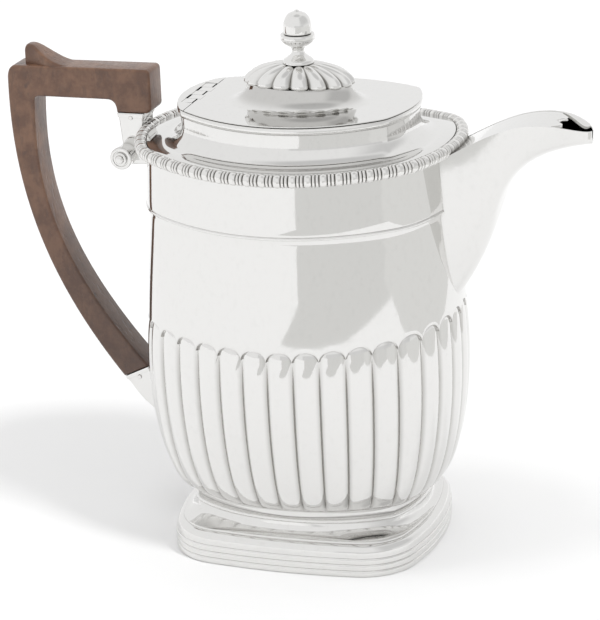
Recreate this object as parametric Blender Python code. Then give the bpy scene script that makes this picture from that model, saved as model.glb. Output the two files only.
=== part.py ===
"""Silver coffee pot: a half-fluted oblong body on a moulded foot, a hinged lid and a wooden handle.

Lengths are in metres. X runs from the handle to the spout, Y across the pot and Z up from the table.
The origin lies on the table, midway between the back of the handle and the lip of the spout.
Round the pot, outlines are offsets of one cushion-shaped core, so walls keep their thickness.
"""

import math

import bmesh
import bpy
import numpy as np
from mathutils import Matrix, Vector
from mathutils.geometry import interpolate_bezier

MM = 0.001

# Sheet and fits
SHEET = 1.1 * MM
FIT = 0.3 * MM
SLIDE = 0.4 * MM
SINK = 2.0 * MM
OVERCUT = 5.0 * MM

# Plan of the body over the collar band
BODY_LENGTH = 125.6 * MM
BODY_WIDTH = 106.2 * MM
CORNER_ROUND = 23.5 * MM
END_BOW = 4.3 * MM
SIDE_BOW = 11.6 * MM
END_RISE = 3.0 * MM

# Body and its flutes
BODY_HEIGHT = 143.7 * MM
BELLY_HEIGHT = 60.4 * MM
BELLY_SWELL = 3.3 * MM
BASE_INSET = 16.0 * MM
FLUTE_COUNT = 36
FLUTE_HEIGHT = 78.0 * MM
FLUTE_CREST = 0.3 * MM
FLUTE_DEPTH = 1.4 * MM
FLUTE_SHOULDER = 2.0 * MM
FLUTE_MARGIN = 3.0 * MM

# Collar band, border wire, shoulder and mouth
COLLAR_HEIGHT = 21.8 * MM
COLLAR_THICK = 0.9 * MM
BORDER_RADIUS = 2.9 * MM
BORDER_UNITS = 64
NECK_HEIGHT = 18.0 * MM
NECK_INSET = 15.3 * MM
COVE_REACH = 5.3 * MM
RIM_WIDTH = 1.0 * MM
RIM_HEIGHT = 3.0 * MM

# Foot
FOOT_HEIGHT = 20.0 * MM
FOOT_LENGTH = 109.8 * MM
FOOT_WIDTH = 95.6 * MM
FOOT_ROUND = 23.8 * MM
FOOT_END_BOW = 2.9 * MM
FOOT_SIDE_BOW = 1.8 * MM
FOOT_RIM_HEIGHT = 7.9 * MM
FOOT_RIM_THICK = 3.1 * MM
REED_DEPTH = 0.5 * MM
REED_COUNT = 3

# Spout
SPOUT_REACH = 55.4 * MM
SPOUT_ROOT_WIDTH = 27.4 * MM
SPOUT_LIP_WIDTH = 23.4 * MM
SPOUT_PEAK = 17.7 * MM
SPOUT_ROOT_HEIGHT = 81.0 * MM
SPOUT_SINK = 3.0 * MM
NOSE_LENGTH = 14.2 * MM
STRAINER_RADIUS = 2.3 * MM
STRAINER_STEP = 8.0 * MM

# Wooden handle and its sockets
HANDLE_REACH = 60.0 * MM
HANDLE_THICK = 13.6 * MM
HANDLE_DEPTH = 11.2 * MM
BAR_HEIGHT = 13.0 * MM
BAR_RISE = 31.0 * MM
BLOCK_LENGTH = 14.9 * MM
BLOCK_DROP = 5.1 * MM
BLOCK_SETBACK = 1.9 * MM
THUMB_HEIGHT = 7.6 * MM
HANDLE_EDGE = 0.9 * MM
HANDLE_FOOT_HEIGHT = 45.6 * MM
HANDLE_FOOT_STAND = 10.9 * MM
UPPER_TENON = 3.7 * MM
LOWER_TENON = 5.0 * MM
PIN_LEVEL = 0.56
SOCKET_HEIGHT = 15.1 * MM
SOCKET_THICK = 12.4 * MM
SOCKET_BAND = 0.3 * MM
SOCKET_LIP = 1.5 * MM
SOCKET_ROOT_DROP = 3.5 * MM
SOCKET_ROOT_HEIGHT = 18.5 * MM
PIN_RADIUS = 0.9 * MM
PIN_STAND = 0.5 * MM
ROLL_RADIUS = 4.6 * MM
ROLL_LENGTH = 26.0 * MM
ROLL_STAND = 9.9 * MM

# Lid, hinge and finial
LID_OVERHANG = 1.1 * MM
LID_THICK = 1.3 * MM
LID_CROWN = 7.0 * MM
CROWN_LENGTH = 48.0 * MM
CROWN_WIDTH = 38.0 * MM
DOME_LENGTH = 44.4 * MM
DOME_WIDTH = 28.4 * MM
DOME_HEIGHT = 8.1 * MM
PETAL_COUNT = 16
BEZEL_DROP = 3.5 * MM
HINGE_INSET = 6.3 * MM
HINGE_RADIUS = 2.0 * MM
HINGE_LENGTH = 30.0 * MM
HINGE_CLEAR = 0.9 * MM
KNUCKLES = 5
FINIAL_HEIGHT = 21.4 * MM
ACORN_RADIUS = 6.9 * MM
STUD_RADIUS = 1.5 * MM
STUD_TAIL = 5.0 * MM
NUT_RADIUS = 3.6 * MM
NUT_HEIGHT = 2.4 * MM

# Points round a piece
FLUTE_POINTS = 3
ROUND_POINTS = FLUTE_POINTS * FLUTE_COUNT // 2
LID_POINTS = 56
TURN_POINTS = 16

# Worked out from the sizes above
HALF_LENGTH = BODY_LENGTH / 2
BODY_PLAN = (
    HALF_LENGTH - END_BOW - CORNER_ROUND,
    BODY_WIDTH / 2 - SIDE_BOW - CORNER_ROUND,
    END_BOW,
    SIDE_BOW,
)
FOOT_PLAN = (
    FOOT_LENGTH / 2 - FOOT_END_BOW - FOOT_ROUND,
    FOOT_WIDTH / 2 - FOOT_SIDE_BOW - FOOT_ROUND,
    FOOT_END_BOW,
    FOOT_SIDE_BOW,
)
BODY_X = (HANDLE_REACH - SPOUT_REACH) / 2
SHELL_BOTTOM = FOOT_HEIGHT + FIT
BODY_TOP = FOOT_HEIGHT + BODY_HEIGHT
BELLY_Z = FOOT_HEIGHT + BELLY_HEIGHT
FLUTE_TOP = FOOT_HEIGHT + FLUTE_HEIGHT
COLLAR_BOTTOM = BODY_TOP - COLLAR_HEIGHT
SHELL_OFFSET = CORNER_ROUND - COLLAR_THICK - FIT
BELLY_OFFSET = SHELL_OFFSET + BELLY_SWELL
BASE_OFFSET = CORNER_ROUND - BASE_INSET
BORDER_STAND = 0.78 * (BORDER_RADIUS + FIT)
BORDER_OFFSET = SHELL_OFFSET + BORDER_STAND
BORDER_Z = BODY_TOP + BORDER_STAND
NECK_OFFSET = CORNER_ROUND - NECK_INSET
NECK_TOP = BODY_TOP + NECK_HEIGHT
LID_OFFSET = NECK_OFFSET + LID_OVERHANG
LID_BOTTOM = NECK_TOP + FIT
LID_TOP = LID_BOTTOM + LID_THICK
PLATFORM_Z = LID_TOP + LID_CROWN
DOME_TOP = PLATFORM_Z + FIT + DOME_HEIGHT
FINIAL_Z = DOME_TOP + FIT
HINGE_X = HINGE_INSET - (HALF_LENGTH - CORNER_ROUND + LID_OFFSET)
ROLL_X = -HALF_LENGTH - ROLL_STAND
ROLL_Z = BODY_TOP - ROLL_RADIUS

SILVER = ((0.84, 0.83, 0.80), 1.0, 0.12)
WOOD = ((0.22, 0.12, 0.075), 0.0, 0.45)


def clear_scene():
    """Remove what a new scene starts with."""
    for old in list(bpy.data.objects):
        bpy.data.objects.remove(old, do_unlink=True)


def eased(value):
    """Smooth step from 0 to 1."""
    value = min(max(value, 0.0), 1.0)
    return value * value * (3.0 - 2.0 * value)


def mix(first, second, share):
    return first + (second - first) * share


def curve(start, leave, arrive, end, count):
    """Points of one cubic curve in a plane, both ends included."""
    knots = [Vector(point) for point in (start, leave, arrive, end)]
    return interpolate_bezier(*knots, count)


def rise(x, z):
    """Height that the upper body gains toward its two ends."""
    share = eased((z - BELLY_Z) / (BODY_TOP - BELLY_Z))
    return END_RISE * share * (x / HALF_LENGTH) ** 2


def raised(x, y, z):
    return Vector((x, y, z + rise(x, z)))


def plan_core(angle, corner_x, corner_y, end_bow, side_bow):
    """Point of a cushion-shaped core whose outline there faces the given angle."""
    turn = math.atan2(abs(math.sin(angle)), abs(math.cos(angle)))
    end_radius = (corner_y**2 + end_bow**2) / (2 * end_bow)
    side_radius = (corner_x**2 + side_bow**2) / (2 * side_bow)
    if turn < math.asin(corner_y / end_radius):
        x = corner_x + end_bow - end_radius * (1 - math.cos(turn))
        y = end_radius * math.sin(turn)
    elif math.pi / 2 - turn < math.asin(corner_x / side_radius):
        x = side_radius * math.cos(turn)
        y = corner_y + side_bow - side_radius * (1 - math.sin(turn))
    else:
        x, y = corner_x, corner_y
    return Vector((math.copysign(x, math.cos(angle)), math.copysign(y, math.sin(angle))))


def plan_point(angle, offset, z, foot_share=0.0):
    """Point of the body's outline pushed out by offset, turning into the foot's outline by foot_share."""
    core = plan_core(angle, *BODY_PLAN).lerp(plan_core(angle, *FOOT_PLAN), foot_share)
    x = core.x + offset * math.cos(angle)
    y = core.y + offset * math.sin(angle)
    return raised(x, y, z)


def spaced_angles(count):
    """Facing angles that divide the collar band's outline into equal lengths."""
    dense = np.linspace(0.0, 2 * math.pi, 40 * FLUTE_COUNT + 1)
    points = np.array([plan_point(angle, CORNER_ROUND, 0.0) for angle in dense])
    steps = np.linalg.norm(np.diff(points, axis=0), axis=1)
    length = np.concatenate([[0.0], np.cumsum(steps)])
    return np.interp(np.arange(count) * length[-1] / count, length, dense)


def ring(offset, z, count=ROUND_POINTS, foot_share=0.0):
    return [plan_point(angle, offset, z, foot_share) for angle in spaced_angles(count)]


def inset_path(path, distance):
    """Path moved sideways, to the right of its direction, by the same distance everywhere."""
    moved = []
    for index, point in enumerate(path):
        ahead = path[min(index + 1, len(path) - 1)]
        behind = path[max(index - 1, 0)]
        along = (ahead - behind).normalized()
        moved.append(point + distance * Vector((along.y, -along.x)))
    return moved


def bridge(bm, first, second):
    """Faces between two rings of vertices of equal count, of double count, or with a pole."""
    if len(first) < len(second):
        first, second = second, first
    count = len(first)
    for index in range(count):
        a, b = first[index], first[(index + 1) % count]
        if len(second) == 1:
            bm.faces.new((a, b, second[0]))
        elif len(second) == count:
            bm.faces.new((a, b, second[(index + 1) % count], second[index]))
        elif index % 2 == 0:
            bm.faces.new((a, b, second[index // 2]))
        else:
            ahead = second[(index // 2 + 1) % len(second)]
            bm.faces.new((a, b, ahead))
            bm.faces.new((a, ahead, second[index // 2]))


def rings_mesh(rings, closed):
    """Skin over rings of points: a closed loop of rings, or a row of rings with its ends filled."""
    bm = bmesh.new()
    loops = [[bm.verts.new(point) for point in points] for points in rings]
    for first, second in zip(loops, loops[1:]):
        bridge(bm, first, second)
    if closed:
        bridge(bm, loops[-1], loops[0])
    else:
        for end in (loops[0], loops[-1]):
            if len(end) > 2:
                bm.faces.new(end)
    bmesh.ops.recalc_face_normals(bm, faces=bm.faces)
    return bm


def turned_mesh(profile, frame, steps=TURN_POINTS, closed=False):
    """Turned piece: radius and height pairs spun round the frame's own Z axis. Radius 0 is a pole."""
    rings = []
    for radius, height in profile:
        turns = [2 * math.pi * step / steps for step in range(steps if radius else 1)]
        spots = [Vector((radius * math.cos(turn), radius * math.sin(turn), height)) for turn in turns]
        rings.append([frame @ spot for spot in spots])
    return rings_mesh(rings, closed)


def cylinder_mesh(radius, low, high, frame, steps=TURN_POINTS):
    return turned_mesh([(0, low), (radius, low), (radius, high), (0, high)], frame, steps)


def upright():
    """Frame whose own Z axis is the pot's middle."""
    return Matrix.Identity(4)


def crosswise(x, z):
    """Frame whose own Z axis runs along Y."""
    return Matrix.Translation((x, 0.0, z)) @ Matrix.Rotation(-math.pi / 2, 4, "X")


def lengthwise(y, z):
    """Frame whose own Z axis runs along X."""
    return Matrix.Translation((0.0, y, z)) @ Matrix.Rotation(math.pi / 2, 4, "Y")


def box_mesh(low, high):
    corners = [(low[0], low[1]), (high[0], low[1]), (high[0], high[1]), (low[0], high[1])]
    rings = [[Vector((x, y, z)) for x, y in corners] for z in (low[2], high[2])]
    return rings_mesh(rings, closed=False)


def prism_mesh(outline, y_low, y_high):
    """Outline in the XZ plane extruded along Y."""
    rings = [[Vector((point[0], y, point[1])) for point in outline] for y in (y_low, y_high)]
    return rings_mesh(rings, closed=False)


def block_ring(centre, across, half_across, half_thick, cut):
    """Rectangle with cut corners, spanned by a direction in the XZ plane and by Y."""
    corners = []
    for side_a, side_y in ((1, 1), (-1, 1), (-1, -1), (1, -1)):
        near = (half_across - cut, half_thick)
        far = (half_across, half_thick - cut)
        order = (far, near) if side_a * side_y > 0 else (near, far)
        for reach, thick in order:
            spot = centre + across * (side_a * reach)
            corners.append(Vector((spot.x, side_y * thick, spot.y)))
    return corners


def merged(meshes):
    """One mesh that holds several."""
    whole = bmesh.new()
    for part in meshes:
        copy = bpy.data.meshes.new("copy")
        part.to_mesh(copy)
        whole.from_mesh(copy)
        bpy.data.meshes.remove(copy)
        part.free()
    return whole


def add_object(name, bm, parent):
    """Object with the mesh given in its parent's frame."""
    mesh = bpy.data.meshes.new(name)
    bmesh.ops.translate(bm, verts=bm.verts, vec=-Vector(parent["stands_at"]))
    bm.to_mesh(mesh)
    bm.free()
    thing = bpy.data.objects.new(name, mesh)
    thing.parent = parent
    bpy.context.scene.collection.objects.link(thing)
    return thing


def add_piece(name, bm, parent, finish=SILVER):
    """Sub-part with its own material, shaded smooth away from its corners."""
    piece = add_object(name, bm, parent)
    piece.data.shade_smooth()
    piece.data.set_sharp_from_angle(angle=math.radians(35))
    colour, metallic, roughness = finish
    material = bpy.data.materials.new(name + "_finish")
    material.use_nodes = True
    shader = material.node_tree.nodes["Principled BSDF"]
    shader.inputs["Base Color"].default_value = (*colour, 1.0)
    shader.inputs["Metallic"].default_value = metallic
    shader.inputs["Roughness"].default_value = roughness
    piece.data.materials.append(material)
    return piece


def shape_with(piece, bm, operation):
    """Cut a helper mesh out of a piece, or join it on, with a Boolean that stays on the piece."""
    helper = add_object(piece.name + "_" + operation.lower(), bm, piece.parent)
    helper.hide_render = True
    helper.display_type = "WIRE"
    modifier = piece.modifiers.new(helper.name, "BOOLEAN")
    modifier.operation = operation
    modifier.solver = "EXACT"
    modifier.object = helper


def cut(piece, bm):
    shape_with(piece, bm, "DIFFERENCE")


def join(piece, bm):
    shape_with(piece, bm, "UNION")


def add_axis(name, body_place):
    """Empty that pieces hang from, at a place given from the middle of the body."""
    axis = bpy.data.objects.new(name, None)
    axis.location = Vector(body_place) + Vector((BODY_X, 0.0, 0.0))
    axis["stands_at"] = body_place
    bpy.context.scene.collection.objects.link(axis)
    return axis


def drum_curve(count):
    """Outer profile of the shell from the collar band down to the belly, as offset and height."""
    drop = COLLAR_BOTTOM - BELLY_Z
    return curve(
        (SHELL_OFFSET, COLLAR_BOTTOM),
        (SHELL_OFFSET, COLLAR_BOTTOM - 0.32 * drop),
        (BELLY_OFFSET, BELLY_Z + 0.45 * drop),
        (BELLY_OFFSET, BELLY_Z),
        count,
    )


def base_curve(count):
    """Outer profile of the shell from the belly round to the flat bottom."""
    drop = BELLY_Z - SHELL_BOTTOM
    return curve(
        (BELLY_OFFSET, BELLY_Z),
        (BELLY_OFFSET, BELLY_Z - 0.586 * drop),
        (mix(BASE_OFFSET, BELLY_OFFSET, 0.69), SHELL_BOTTOM),
        (BASE_OFFSET, SHELL_BOTTOM),
        count,
    )


def body_offset(z):
    """How far the plain outer wall of the shell stands out from the core at a height."""
    path = base_curve(40)[::-1] + drum_curve(40)[::-1]
    return float(np.interp(z, [point.y for point in path], [point.x for point in path]))


def fluted_ring(heights, offsets, strength):
    """Ring round the shell with convex lobes, starting in a groove."""
    points = []
    for index, angle in enumerate(spaced_angles(FLUTE_POINTS * FLUTE_COUNT)):
        across = 2 * (index % FLUTE_POINTS) / FLUTE_POINTS - 1
        swell = FLUTE_CREST - FLUTE_DEPTH * across**2
        z = heights(across)
        points.append(plan_point(angle, offsets(z) + strength * swell, z))
    return points


def body_shell(parent):
    """Raised shell: plain drum, arched flutes below it, a rounded base and strainer holes at the spout."""
    pitch = math.pi * (BODY_LENGTH + BODY_WIDTH) / 2 / FLUTE_COUNT

    def arch(across):
        return FLUTE_TOP - pitch / 2 * (1 - math.sqrt(1 - across**2))

    below = base_curve(7)
    rings = [ring(SHELL_OFFSET, BODY_TOP)]
    rings += [ring(point.x, point.y) for point in drum_curve(5)[:2]]
    rings.append(ring(body_offset(FLUTE_TOP + FLUTE_MARGIN), FLUTE_TOP + FLUTE_MARGIN))
    rings.append(fluted_ring(arch, body_offset, 0.0))
    rings.append(fluted_ring(lambda across: arch(across) - FLUTE_SHOULDER, body_offset, 0.8))
    rings.append(fluted_ring(lambda across: FLUTE_TOP - pitch, body_offset, 1.0))
    for index, point in enumerate(below):
        fade = eased((len(below) - 1 - index) / 2.0)
        rings.append(fluted_ring(lambda across, z=point.y: z, lambda z, x=point.x: x, fade))
    wall = SHEET + FLUTE_DEPTH - FLUTE_CREST
    inner = inset_path(base_curve(6), wall)[::-1]
    inner[0] = Vector((BASE_OFFSET, SHELL_BOTTOM + wall))
    inner.append(Vector((body_offset(FLUTE_TOP) - wall, FLUTE_TOP)))
    inner.append(Vector((SHELL_OFFSET - SHEET, COLLAR_BOTTOM)))
    inner.append(Vector((SHELL_OFFSET - SHEET, BODY_TOP)))
    rings += [ring(point.x, point.y) for point in inner]
    shell = add_piece("body_shell", rings_mesh(rings, closed=True), parent)
    drill = (HALF_LENGTH - wall - OVERCUT, HALF_LENGTH + OVERCUT)
    holes = []
    for row in range(3):
        for column in (-1, 0, 1):
            spot = lengthwise(column * STRAINER_STEP, COLLAR_BOTTOM - (row + 0.5) * STRAINER_STEP)
            holes.append(cylinder_mesh(STRAINER_RADIUS, *drill, spot, 8))
    cut(shell, merged(holes))


def base_plate(parent):
    """Flat bottom inside the opening at the base of the shell."""
    edge = BASE_OFFSET - FIT
    rings = [ring(edge, SHELL_BOTTOM), ring(edge, SHELL_BOTTOM + SHEET)]
    add_piece("base_plate", rings_mesh(rings, closed=False), parent)


def collar_band(parent):
    """Plain band round the top of the shell, its lower edge rounded off."""
    inside = SHELL_OFFSET + FIT
    top = BORDER_Z - BORDER_RADIUS - FIT
    path = [
        (inside, COLLAR_BOTTOM),
        (mix(inside, CORNER_ROUND, 0.5), COLLAR_BOTTOM),
        (CORNER_ROUND, COLLAR_BOTTOM + COLLAR_THICK),
        (CORNER_ROUND, top),
        (inside, top),
    ]
    add_piece("collar_band", rings_mesh([ring(*point) for point in path], closed=True), parent)


def gadroon_border(parent):
    """Cast wire of beads: each unit swells at its bead and narrows beside it."""
    girths = (1.0, 0.86)
    angles = spaced_angles(BORDER_UNITS * len(girths))
    rings = []
    for side in range(6):
        facing = 2 * math.pi * (side + 0.5) / 6
        points = []
        for index, angle in enumerate(angles):
            girth = BORDER_RADIUS * girths[index % len(girths)]
            offset = BORDER_OFFSET + girth * math.cos(facing)
            points.append(plan_point(angle, offset, BORDER_Z + girth * math.sin(facing)))
        rings.append(points)
    add_piece("gadroon_border", rings_mesh(rings, closed=True), parent)


def hinge_z():
    """Height of the hinge axis: the barrel's top is level with the lid."""
    return LID_TOP + rise(HINGE_X, LID_TOP) - HINGE_RADIUS


def hinge_room():
    """Space that the hinge barrel needs in the rim."""
    half = HINGE_LENGTH / 2 + FIT
    return cylinder_mesh(HINGE_RADIUS + FIT, -half, half, crosswise(HINGE_X, hinge_z()))


def shoulder(parent):
    """Skirt inside the shell, flat shoulder, concave sweep and upright neck."""
    skirt = SHELL_OFFSET - SHEET - FIT
    lip = BORDER_OFFSET - BORDER_RADIUS - FIT
    flat_z = BORDER_Z + 0.65 * BORDER_RADIUS
    sweep = curve(
        (NECK_OFFSET + COVE_REACH, flat_z),
        (NECK_OFFSET + 0.2 * COVE_REACH, flat_z),
        (NECK_OFFSET, flat_z + 0.8 * COVE_REACH),
        (NECK_OFFSET, flat_z + 1.7 * COVE_REACH),
        5,
    )
    under = []
    for index, point in enumerate(sweep):
        turn = index / (len(sweep) - 1)
        under.append(point - SHEET * Vector((turn, 1 - turn)))
    path = [(skirt, BODY_TOP - 5 * SHEET), (skirt, flat_z - 2 * SHEET), (lip, flat_z - SHEET), (lip, flat_z)]
    path += [tuple(point) for point in sweep]
    path += [(NECK_OFFSET, NECK_TOP), (NECK_OFFSET - SHEET, NECK_TOP)]
    path += [tuple(point) for point in reversed(under)]
    path += [(skirt - SHEET, flat_z - SHEET), (skirt - SHEET, BODY_TOP - 5 * SHEET)]
    piece = add_piece("shoulder", rings_mesh([ring(*point) for point in path], closed=True), parent)
    cut(piece, hinge_room())


def lid_seat_rim(parent):
    """Half-round wire round the mouth, level with the top of the neck."""
    inside = NECK_OFFSET + FIT
    path = [
        (inside, NECK_TOP - RIM_HEIGHT),
        (inside + 0.7 * RIM_WIDTH, NECK_TOP - 0.85 * RIM_HEIGHT),
        (inside + RIM_WIDTH, NECK_TOP - 0.5 * RIM_HEIGHT),
        (inside + 0.7 * RIM_WIDTH, NECK_TOP),
        (inside, NECK_TOP),
    ]
    piece = add_piece("lid_seat_rim", rings_mesh([ring(*point) for point in path], closed=True), parent)
    cut(piece, hinge_room())


def foot_ring(reach, z, foot_share):
    """Ring of the foot given by how far it reaches along X from the middle."""
    core = mix(HALF_LENGTH - CORNER_ROUND, FOOT_LENGTH / 2 - FOOT_ROUND, foot_share)
    return ring(reach - core, z, ROUND_POINTS, foot_share)


def foot_spread(parent):
    """Hollow foot: flange under the base, small fillet, cove and ovolo."""
    reach = FOOT_LENGTH / 2
    top_reach = HALF_LENGTH - CORNER_ROUND + BASE_OFFSET
    low = FOOT_RIM_HEIGHT + FIT
    tall = FOOT_HEIGHT - low
    ovolo = curve(
        (mix(reach, top_reach, 0.46), low + 0.46 * tall),
        (mix(reach, top_reach, 0.26), low + 0.46 * tall),
        (reach - REED_DEPTH, low + 0.3 * tall),
        (reach - REED_DEPTH, low),
        4,
    )
    path = [
        (top_reach, FOOT_HEIGHT, 0.0),
        (top_reach, low + 0.93 * tall, 0.1),
        (mix(reach, top_reach, 0.82), low + 0.86 * tall, 0.3),
        (mix(reach, top_reach, 0.72), low + 0.62 * tall, 0.7),
    ]
    path += [(point.x, point.y, 1.0) for point in ovolo]
    path += [
        (reach - REED_DEPTH - SHEET, low, 1.0),
        (reach - REED_DEPTH - 2 * SHEET, low + 0.25 * tall, 1.0),
        (top_reach - SHEET, low + 0.55 * tall, 0.6),
        (top_reach - 2 * SHEET, FOOT_HEIGHT - SHEET, 0.1),
        (top_reach - 4 * SHEET, FOOT_HEIGHT - SHEET, 0.0),
        (top_reach - 4 * SHEET, FOOT_HEIGHT, 0.0),
    ]
    add_piece("foot_spread", rings_mesh([foot_ring(*point) for point in path], closed=True), parent)


def foot_rim(parent):
    """Reeded wire that the pot stands on."""
    reach = FOOT_LENGTH / 2
    step = FOOT_RIM_HEIGHT / REED_COUNT
    path = [(reach - REED_DEPTH, 0.0)]
    for reed in range(REED_COUNT):
        path.append((reach, (reed + 0.5) * step))
        path.append((reach - REED_DEPTH, (reed + 1) * step))
    path += [(reach - FOOT_RIM_THICK, FOOT_RIM_HEIGHT), (reach - FOOT_RIM_THICK, 0.0)]
    add_piece("foot_rim", rings_mesh([foot_ring(x, z, 1.0) for x, z in path], closed=True), parent)


def body_room(under=BORDER_Z - BORDER_RADIUS - FIT):
    """Body, collar band and, from a height up, border wire with the gap that joined pieces keep to them."""
    heights = np.linspace(FOOT_HEIGHT + 0.07 * BODY_HEIGHT, COLLAR_BOTTOM - 2 * FIT, 9)
    rings = [ring(body_offset(z) + FLUTE_CREST + SLIDE, z) for z in heights]
    steps = [
        (CORNER_ROUND + FIT, COLLAR_BOTTOM - FIT),
        (CORNER_ROUND + FIT, under),
        (BORDER_OFFSET + BORDER_RADIUS + FIT, under),
        (BORDER_OFFSET + BORDER_RADIUS + FIT, BORDER_Z + BORDER_RADIUS + FIT),
    ]
    rings += [ring(offset, z) for offset, z in steps]
    return rings_mesh(rings, closed=False)


def spout_top(count):
    """Line of the spout's flat top, in the XZ plane, from inside the body to the lip."""
    root, tip = HALF_LENGTH - SPOUT_SINK, HALF_LENGTH + SPOUT_REACH
    lip_z = BODY_TOP + 0.75 * SPOUT_PEAK
    return curve(
        (root, BODY_TOP - 0.05 * SPOUT_PEAK),
        (mix(root, tip, 0.38), BODY_TOP + 0.81 * SPOUT_PEAK),
        (mix(root, tip, 0.62), BODY_TOP + 1.29 * SPOUT_PEAK),
        (tip, lip_z),
        count,
    )


def spout_keel(count):
    """Line of the spout's underside, in two sweeps, from inside the body to the lip."""
    root, tip = HALF_LENGTH - SPOUT_SINK, HALF_LENGTH + SPOUT_REACH
    low = FOOT_HEIGHT + SPOUT_ROOT_HEIGHT
    high = BODY_TOP + 0.7 * SPOUT_PEAK

    def spot(ahead, up):
        return mix(root, tip, ahead), mix(low, high, up)

    bend = spot(0.352, 0.526)
    half = count // 2
    lower = curve((root, low), spot(0.206, 0.213), spot(0.297, 0.377), bend, half + 1)
    upper = curve(bend, spot(0.42, 0.713), spot(0.5, 0.9), (tip, high), count - half)
    return lower[:-1] + upper


def spout_half_width(x):
    """Half the spout's width: it tapers to the lip and closes there in a rounded nose."""
    root, tip = HALF_LENGTH, HALF_LENGTH + SPOUT_REACH
    width = mix(SPOUT_ROOT_WIDTH, SPOUT_LIP_WIDTH, (x - root) / (tip - NOSE_LENGTH - root))
    ahead = max(0.0, (x - tip + NOSE_LENGTH) / NOSE_LENGTH)
    return width / 2 * math.sqrt(max(0.04, 1 - ahead**2))


def channel_ring(top, keel, half_width, lift):
    """Section of the spout: straight sides from the top line, then a rounded underside."""
    down = (keel - top).normalized()
    start = top - down * lift
    depth = (keel - start).length
    levels = (0.0, 0.55, 0.75, 0.9, 0.975)
    sides = []
    for level in levels:
        bend = max(0.0, (level - 0.55) / 0.45)
        sides.append((half_width * math.sqrt(1 - bend**2), start + down * (depth * level)))
    left = [Vector((spot.x, -width, spot.y)) for width, spot in sides]
    right = [Vector((spot.x, width, spot.y)) for width, spot in reversed(sides)]
    return left + [Vector((keel.x, 0.0, keel.y))] + right


def spout_body(parent):
    """Open channel: an outer skin with its hollow cut out, fitted to the body at its root."""
    tops, keels = spout_top(14), spout_keel(14)
    floor = inset_path(keels, -SHEET)
    outer = [channel_ring(top, keel, spout_half_width(top.x), 0.0) for top, keel in zip(tops, keels)]
    spots = list(zip(tops[:-1], floor[:-1]))
    spots[-1] = [spot + Vector((FIT, 0.0)) for spot in spots[-1]]
    hollow = []
    for top, keel in spots:
        hollow.append(channel_ring(top, keel, spout_half_width(top.x) - SHEET, 3 * SHEET))
    hollow[0] = [point - Vector((OVERCUT, 0.0, 0.0)) for point in hollow[0]]
    piece = add_piece("spout_body", rings_mesh(outer, closed=False), parent)
    cut(piece, body_room())
    cut(piece, rings_mesh(hollow, closed=False))


def spout_top_plate(parent):
    """Flat top let in between the spout's sides, from the border wire to an end cut to a brace."""
    across = np.linspace(-1.0, 1.0, 9)
    rows = 9
    line = spout_top(60)
    sides = {"top": [], "under": []}
    for share in across:
        brace = 0.80 - 0.03 * math.cos(2 * math.pi * share)
        columns = [line[round(59 * brace * row / (rows - 1))] for row in range(rows)]
        for side, drop in (("top", 0.0), ("under", SHEET)):
            spots = []
            for spot in columns:
                half_width = spout_half_width(spot.x) - SHEET - SLIDE
                spots.append(Vector((spot.x, share * half_width, spot.y - drop)))
            sides[side].append(spots)
    rings = []
    for row in range(rows):
        over = [column[row] for column in sides["top"]]
        under = [column[row] for column in reversed(sides["under"])]
        rings.append(over + under)
    piece = add_piece("spout_top_plate", rings_mesh(rings, closed=False), parent)
    cut(piece, body_room(under=COLLAR_BOTTOM))


def handle_marks():
    """Places of the handle in the XZ plane that its wood and its sockets share."""
    along = Vector((0.434, -0.901))
    return {
        "bar_top": BODY_TOP + BAR_RISE,
        "bar_under": BODY_TOP + BAR_RISE - BAR_HEIGHT,
        "block_low": BODY_TOP + BAR_RISE - BAR_HEIGHT - BLOCK_DROP,
        "block_right": BLOCK_SETBACK - HALF_LENGTH,
        "block_left": BLOCK_SETBACK - HALF_LENGTH - BLOCK_LENGTH,
        "back": -(HALF_LENGTH + HANDLE_REACH),
        "end": Vector((-HALF_LENGTH - HANDLE_FOOT_STAND, FOOT_HEIGHT + HANDLE_FOOT_HEIGHT)),
        "along": along,
        "across": Vector((-along.y, along.x)),
    }


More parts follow.
